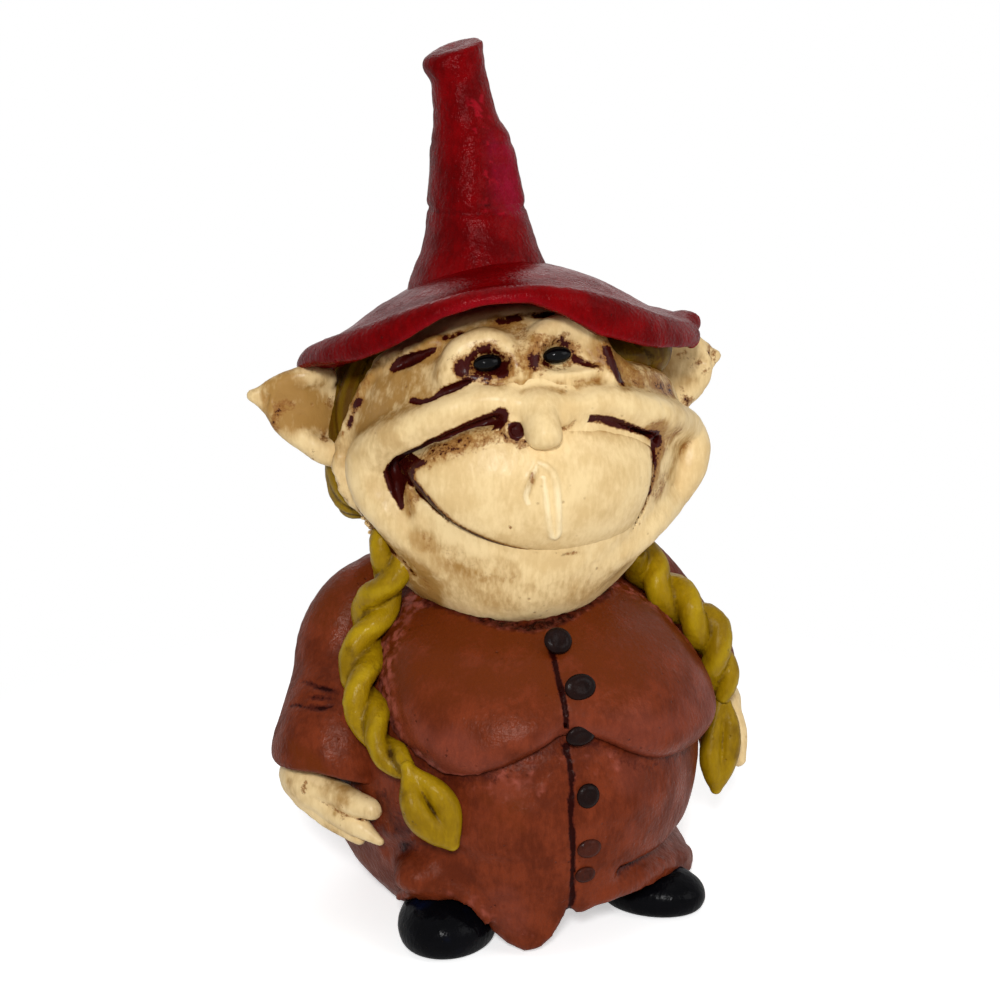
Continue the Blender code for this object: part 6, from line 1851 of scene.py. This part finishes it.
def button_growth() -> Growth:
    """Pressed pills with a rim round a dent, one on each point, as the point's turn and size say."""
    made = Growth("pressed_buttons", {"Height": "Float"})
    w, given = made.wires, made.given
    pill = w.put("GeometryNodeMeshUVSphere", {"Segments": 28, "Rings": 16, "Radius": 1.0})
    x, y, z = w.put("ShaderNodeSeparateXYZ", {0: w.put("GeometryNodeInputPosition").outputs[0]}).outputs
    middle = w.plus(w.reckon("POWER", x, 2.0), w.reckon("POWER", y, 2.0))
    dent = w.times(w.reckon("MAXIMUM", w.less(0.3, middle), 0.0), 0.7)
    pressed = w.put("ShaderNodeCombineXYZ", {0: x, 1: y, 2: w.less(w.times(z, given["Height"]), dent)})
    shaped = w.put("GeometryNodeSetPosition", {"Geometry": pill.outputs[0], "Position": pressed.outputs[0]})
    turn, size = (w.put("GeometryNodeInputNamedAttribute", {"Name": name},
                        data_type="FLOAT_VECTOR").outputs[0]
                  for name in ("turn", "size"))
    dots = w.put("GeometryNodeMeshToPoints", {"Mesh": given["Geometry"]})
    set_out = w.put("GeometryNodeInstanceOnPoints",
                    {"Points": dots.outputs[0], "Instance": shaped.outputs[0],
                     "Rotation": turn, "Scale": size})
    return made.close(set_out.outputs[0])


@dataclass
class Trimmings:
    """The braids and their tufts, the buttons, and the crumbs along raw edges."""

    braids: dict[Side, list[Station]] = field(default_factory=lambda: {
        Side.RIGHT: [((-29.6, -13.0, 90.5), 0.8), ((-28.6, -16.8, 85.2), 0.9), ((-29.9, -16.0, 80.1), 0.92),
                     ((-32.2, -14.5, 74.5), 0.95), ((-34.5, -15.0, 68.6), 0.95),
                     ((-36.7, -18.0, 63.9), 0.95), ((-38.4, -22.0, 59.1), 0.92),
                     ((-38.3, -26.0, 54.7), 0.9), ((-37.6, -30.0, 50.8), 0.86),
                     ((-36.3, -34.5, 47.7), 0.74), ((-34.2, -38.8, 45.6), 0.6),
                     ((-32.6, -40.5, 44.4), 0.5)],
        Side.LEFT: [((31.0, -12.0, 80.5), 0.9), ((35.3, -12.0, 73.6), 1.0), ((38.7, -15.5, 69.3), 1.0),
                    ((43.0, -17.8, 64.5), 1.0), ((47.0, -18.8, 60.0), 1.0), ((49.0, -19.0, 53.6), 0.95),
                    ((50.8, -18.6, 47.4), 0.75), ((51.3, -18.4, 43.0), 0.6)]})
    tufts: dict[Side, list[Station]] = field(default_factory=lambda: {
        Side.RIGHT: [((-33.6, -42.4, 46.2), 2.2), ((-32.6, -43.6, 43.8), 3.2), ((-31.0, -45.6, 40.4), 5.0),
                     ((-29.2, -46.8, 36.6), 5.6), ((-27.4, -47.8, 32.8), 4.8), ((-25.6, -48.4, 29.6), 2.6)],
        Side.LEFT: [((51.2, -18.4, 44.0), 2.0), ((50.8, -19.0, 40.6), 3.0), ((50.2, -20.0, 36.0), 4.2),
                    ((49.4, -21.2, 30.6), 4.8), ((48.8, -21.8, 25.4), 4.2), ((48.2, -22.0, 21.4), 2.0)]})
    buttons: tuple[tuple[Place, Place, Place], ...] = (
        ((0.8, -43.4, 71.2), (0.05, -1.0, 0.62), (3.2, 3.0, 1.9)),
        ((3.1, -51.0, 62.8), (0.1, -1.0, 0.35), (3.7, 2.9, 1.9)),
        ((2.4, -53.0, 52.5), (0.1, -1.0, -0.1), (3.5, 2.5, 1.9)),
        ((3.5, -54.6, 39.0), (0.1, -1.0, 0.1), (2.7, 2.8, 1.8)),
        ((3.6, -54.9, 26.8), (0.1, -1.0, -0.05), (2.9, 2.2, 1.6)),
        ((2.9, -54.2, 20.4), (0.05, -1.0, -0.1), (2.4, 1.9, 1.4)))

    twists: dict[Side, tuple[float, float]] = field(default_factory=lambda: {
        Side.RIGHT: (25.0, 0.35), Side.LEFT: (22.0, 0.55)})
    strand_radius: float = 3.1
    orbit: float = 2.5
    knit_size: float = 0.45
    thinnest_tuft: float = 1.1
    button_height: float = 0.62
    browned_buttons: tuple[int, ...] = (5, 6)

    def braid(self, side: Side, growth: Growth) -> None:
        """Makes one braid, with its strands knit into one skin.

        Args:
            side: whose braid.
            growth: the braid's node tree.
        """
        stations = self.braids[side]
        turn_length, start_turn = self.twists[side]
        made = growth.grow(curve_object(side.word + "_braid", stations), HAIR, {
            "Strand Radius": self.strand_radius * MM, "Orbit": self.orbit * MM,
            "Turn Length": turn_length * MM,
            "Start Turn": start_turn})
        knit = made.modifiers.new("knit", "REMESH")
        knit.mode, knit.voxel_size, knit.use_smooth_shade = "VOXEL", self.knit_size * MM, True
        ease = made.modifiers.new("ease", "SMOOTH")
        ease.iterations, ease.factor = 6, 0.5
        mesh = plain_mesh(made)
        made.modifiers.clear()
        made.data = mesh
        rows = {}
        for name in ("co", "normal"):
            values = np.zeros(len(mesh.vertices) * 3)
            mesh.vertices.foreach_get(name, values)
            rows[name] = values.reshape(-1, 3)
        points = rows["co"] / MM
        away = np.full(len(points), FAR)
        for spot, width in zip(*smooth_path(stations, 6)):
            away = np.minimum(away, np.linalg.norm(points - spot, axis=1) / width)
        lumps = 0.34 * rough(points, 4.5, 24) + 0.08 * rough(points, 1.2, 34)
        points = points + rows["normal"] * lumps[:, None]
        mesh.vertices.foreach_set("co", (points * MM).astype(np.float32).ravel())
        write_marks(mesh, {
            "wash": (1 - fade(away, 2.4, 4.2)) * 0.46 + patchy(points, 4.0, 54, 0.15, 0.9) * 0.3,
            # painted highlight on the braid's outer skin
            "highlight_and_pale": fade(away, 4.8, 5.8) * 0.6, "tint": patchy(points, 9.0, 64, 0.2, 0.9) * 0.4})
        mesh.materials.clear()
        mesh.materials.append(HAIR.material())
        ride(made, "braid_yellow", side.word + "_braid")

    def tuft(self, side: Side) -> None:
        """Makes the leaf-shaped tuft under a braid's tie, as two lobes and the web behind them.

        Args:
            side: whose tuft.
        """
        stations = self.tufts[side]
        places = np.array([place for place, _ in stations])
        clay = Clay(tuple(places.min(axis=0) - 9), tuple(places.max(axis=0) + 9), 0.45)
        for shift in (-1, 0, 1):
            share, set_back = (0.54, 0.0) if shift else (0.3, 0.34)
            lobe = []
            for i, ((x, y, z), wide) in enumerate(stations):
                bow = shift * math.sin(i / (len(stations) - 1) * math.pi) * wide * 0.56
                lobe.append(((x + bow, y + wide * set_back, z + bow * 0.3),
                             max(self.thinnest_tuft, wide * share)))
            clay.add(roll(lobe), 0.8)
        cast = clay.skin()
        p = cast.points
        cast.push(0.1 * rough(p, 2.5, 35))
        cast.marks["wash"] = cast.sunk(0.04, 0.3) * 0.8
        cast.marks["tint"] = patchy(p, 6.0, 65, 0.2, 0.9) * 0.4
        # painted highlight on the lobes' bulges
        cast.marks["highlight_and_pale"] = cast.raised(0.08, 0.25) * 0.5
        cast.show(side.word + "_braid_tuft", HAIR, "braid_yellow")

    def press_buttons(self, growth: Growth) -> None:
        """Makes the six buttons.

        Args:
            growth: the buttons' node tree.
        """
        for number, (place, facing, size) in enumerate(self.buttons, 1):
            mesh = bpy.data.meshes.new("button_spot")
            mesh.from_pydata([Vector(place) * MM], [], [])
            turn = Vector(facing).to_track_quat("Z", "Y").to_euler()
            for label, value in (("turn", tuple(turn)), ("size", tuple(Vector(size) * MM))):
                mesh.attributes.new(label, "FLOAT_VECTOR", "POINT").data[0].vector = value
            made = growth.grow(new_object(f"button_{number}", mesh), BUTTON, {"Height": self.button_height})
            brown = 0.75 if number in self.browned_buttons else 0.0
            values = np.full(len(made.data.vertices), brown, dtype=np.float32)
            made.data.attributes.new("tint", "FLOAT", "POINT").data.foreach_set("value", values)
            ride(made, "button_dark", f"button_{number}")

    def crumbs(self, growth: Growth, edge: Path) -> None:
        """Scatters crumbs along the mask's raw edge.

        Args:
            growth: the crumbs' node tree.
            edge: the stretch of the mask's edge that has them.
        """
        raw = [((x - 0.6, y - 0.8, z), width) for (x, y, z), width in edge]
        made = growth.grow(curve_object("face_edge_crumbs", raw), SKIN, {
            "Count": 80, "Spread": 1.2 * MM, "Size": 0.7 * MM, "Seed": 3, "Wash": 0.3})
        ride(made, "skin_cream")


@dataclass
class Studio:
    """A plain pale floor, soft light, and a camera where the photograph was taken."""

    azimuth: float = -18.0
    elevation: float = 15.0
    roll: float = -0.8
    distance: float = 500.0
    height: float = 92.0
    shift: float = 2.0
    lens: float = 77.22
    sky_on_piece: float = 0.20
    floor_half: float = 6.0
    floor_glow: float = 0.5
    shadow_reach: tuple[float, float] = (0.09, 0.2)

    def camera(self) -> None:
        """Makes the scene's camera."""
        a, e, r = (math.radians(v) for v in (self.azimuth, self.elevation, self.roll))
        back = Vector((math.sin(a) * math.cos(e), -math.cos(a) * math.cos(e), math.sin(e)))
        side = Vector((math.cos(a), math.sin(a), 0))
        top = back.cross(side)
        right = side * math.cos(r) + top * math.sin(r)
        up = top * math.cos(r) - side * math.sin(r)
        place = Matrix((right, up, back)).transposed().to_4x4()
        place.translation = (Vector((0, 0, self.height)) + side * self.shift + back * self.distance) * MM
        data = bpy.data.cameras.new("camera")
        data.lens, data.sensor_width, data.clip_start = self.lens, 36.0, 0.01
        made = new_object("camera", data)
        made.matrix_world = place
        bpy.context.scene.camera = made

    def lamp(self, name: str, place: Place, aim: Place, size: float, power: float) -> None:
        """Adds a square soft lamp.

        Args:
            name: its name.
            place: where it hangs, in mm.
            aim: what it points at, in mm.
            size: its side, in mm.
            power: its power in watts.
        """
        data = bpy.data.lights.new(name, "AREA")
        data.size, data.energy = size * MM, power
        made = new_object(name, data)
        made.location = Vector(place) * MM
        made.rotation_mode = "QUATERNION"
        made.rotation_quaternion = (Vector(aim) - Vector(place)).to_track_quat("-Z", "Y")

    def seen(self, w: Wiring) -> bpy.types.NodeSocket:
        """1 where the camera, a mirror or a glass looks, and 0 where only light falls."""
        ray = w.put("ShaderNodeLightPath").outputs
        mirrored = w.reckon("MAXIMUM", ray["Is Glossy Ray"], ray["Is Transmission Ray"])
        return w.reckon("MAXIMUM", ray["Is Camera Ray"], mirrored)

    def light(self) -> None:
        """Hangs the lamps and sets the world."""
        middle = (0, 0, 95)
        # the key lamp is small, for the glints that the photograph shows
        self.lamp("key", (-330, -900, 570), middle, 130, 7.4)
        self.lamp("fill", (620, -700, 500), middle, 500, 2.2)
        self.lamp("rear", (300, 950, 600), middle, 800, 2.6)
        self.lamp("top", (0, 0, 1300), (0, 0, 0), 900, 2.4)
        world = bpy.data.worlds.new("studio")
        bpy.context.scene.world = world
        world.use_nodes = True
        w = Wiring(world.node_tree)
        background = world.node_tree.nodes["Background"]
        w.link(w.plus(self.sky_on_piece, w.times(self.seen(w), 1 - self.sky_on_piece)),
               background.inputs["Strength"])
        background.inputs["Color"].default_value = (1, 1, 1, 1)

    def floor(self) -> None:
        """Lays the floor, which takes a shadow near the figure and is plain white further off."""
        mesh = bpy.data.meshes.new("floor")
        far = self.floor_half
        mesh.from_pydata([(-far, -far, 0), (far, -far, 0), (far, far, 0), (-far, far, 0)], [],
                         [(0, 1, 2, 3)])
        paint = bpy.data.materials.new("floor_white")
        paint.use_nodes = True
        w = Wiring(paint.node_tree)
        shader = paint.node_tree.nodes["Principled BSDF"]
        shader.inputs["Base Color"].default_value = (0.92, 0.92, 0.92, 1)
        shader.inputs["Roughness"].default_value = 0.9
        shader.inputs["Specular IOR Level"].default_value = 0.0
        glow, white = (w.put("ShaderNodeEmission", {"Color": (1, 1, 1, 1), "Strength": strength}).outputs[0]
                       for strength in (self.floor_glow, 1.0))
        near = w.put("ShaderNodeAddShader", {0: shader.outputs[0], 1: glow})
        away = w.put("ShaderNodeVectorMath", {0: w.put("ShaderNodeTexCoord").outputs["Object"]},
                     operation="LENGTH")
        far_off = w.step(away.outputs["Value"], *self.shadow_reach)
        pale = w.put("ShaderNodeMixShader", {0: far_off, 1: near.outputs[0], 2: white})
        shown = w.put("ShaderNodeMixShader", {0: self.seen(w), 1: shader.outputs[0], 2: pale.outputs[0]})
        w.link(shown.outputs[0], paint.node_tree.nodes["Material Output"].inputs["Surface"])
        mesh.materials.append(paint)
        new_object("floor", mesh)


def main() -> None:
    """Builds every sub-assembly in order."""
    logging.basicConfig(level=logging.INFO, format="%(message)s")
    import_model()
    for paint in (SKIN, HAT, COAT, HAIR, SHOE, BUTTON, EYE):
        paint.material()

    head = Head()
    head.face()
    head.lip()
    head.nose()
    head.hair()
    for side in Side:
        head.eye(side)
        head.ear(side)

    hat = Hat()
    hat.brim()
    hat.tower()

    trunk = Trunk()
    trunk.coat()
    trunk.bust()
    for side in Side:
        trunk.sleeve(side)
        trunk.hand(side)
        trunk.shoe(side)

    trimmings = Trimmings()
    braids = braid_growth()
    for side in Side:
        trimmings.braid(side, braids)
        trimmings.tuft(side)
    trimmings.press_buttons(button_growth())
    trimmings.crumbs(crumb_growth(), head.edge[9:])

    studio = Studio()
    studio.camera()
    studio.light()
    studio.floor()

    scene = bpy.context.scene
    scene.view_settings.view_transform = "Standard"


if __name__ == "__main__":
    main()
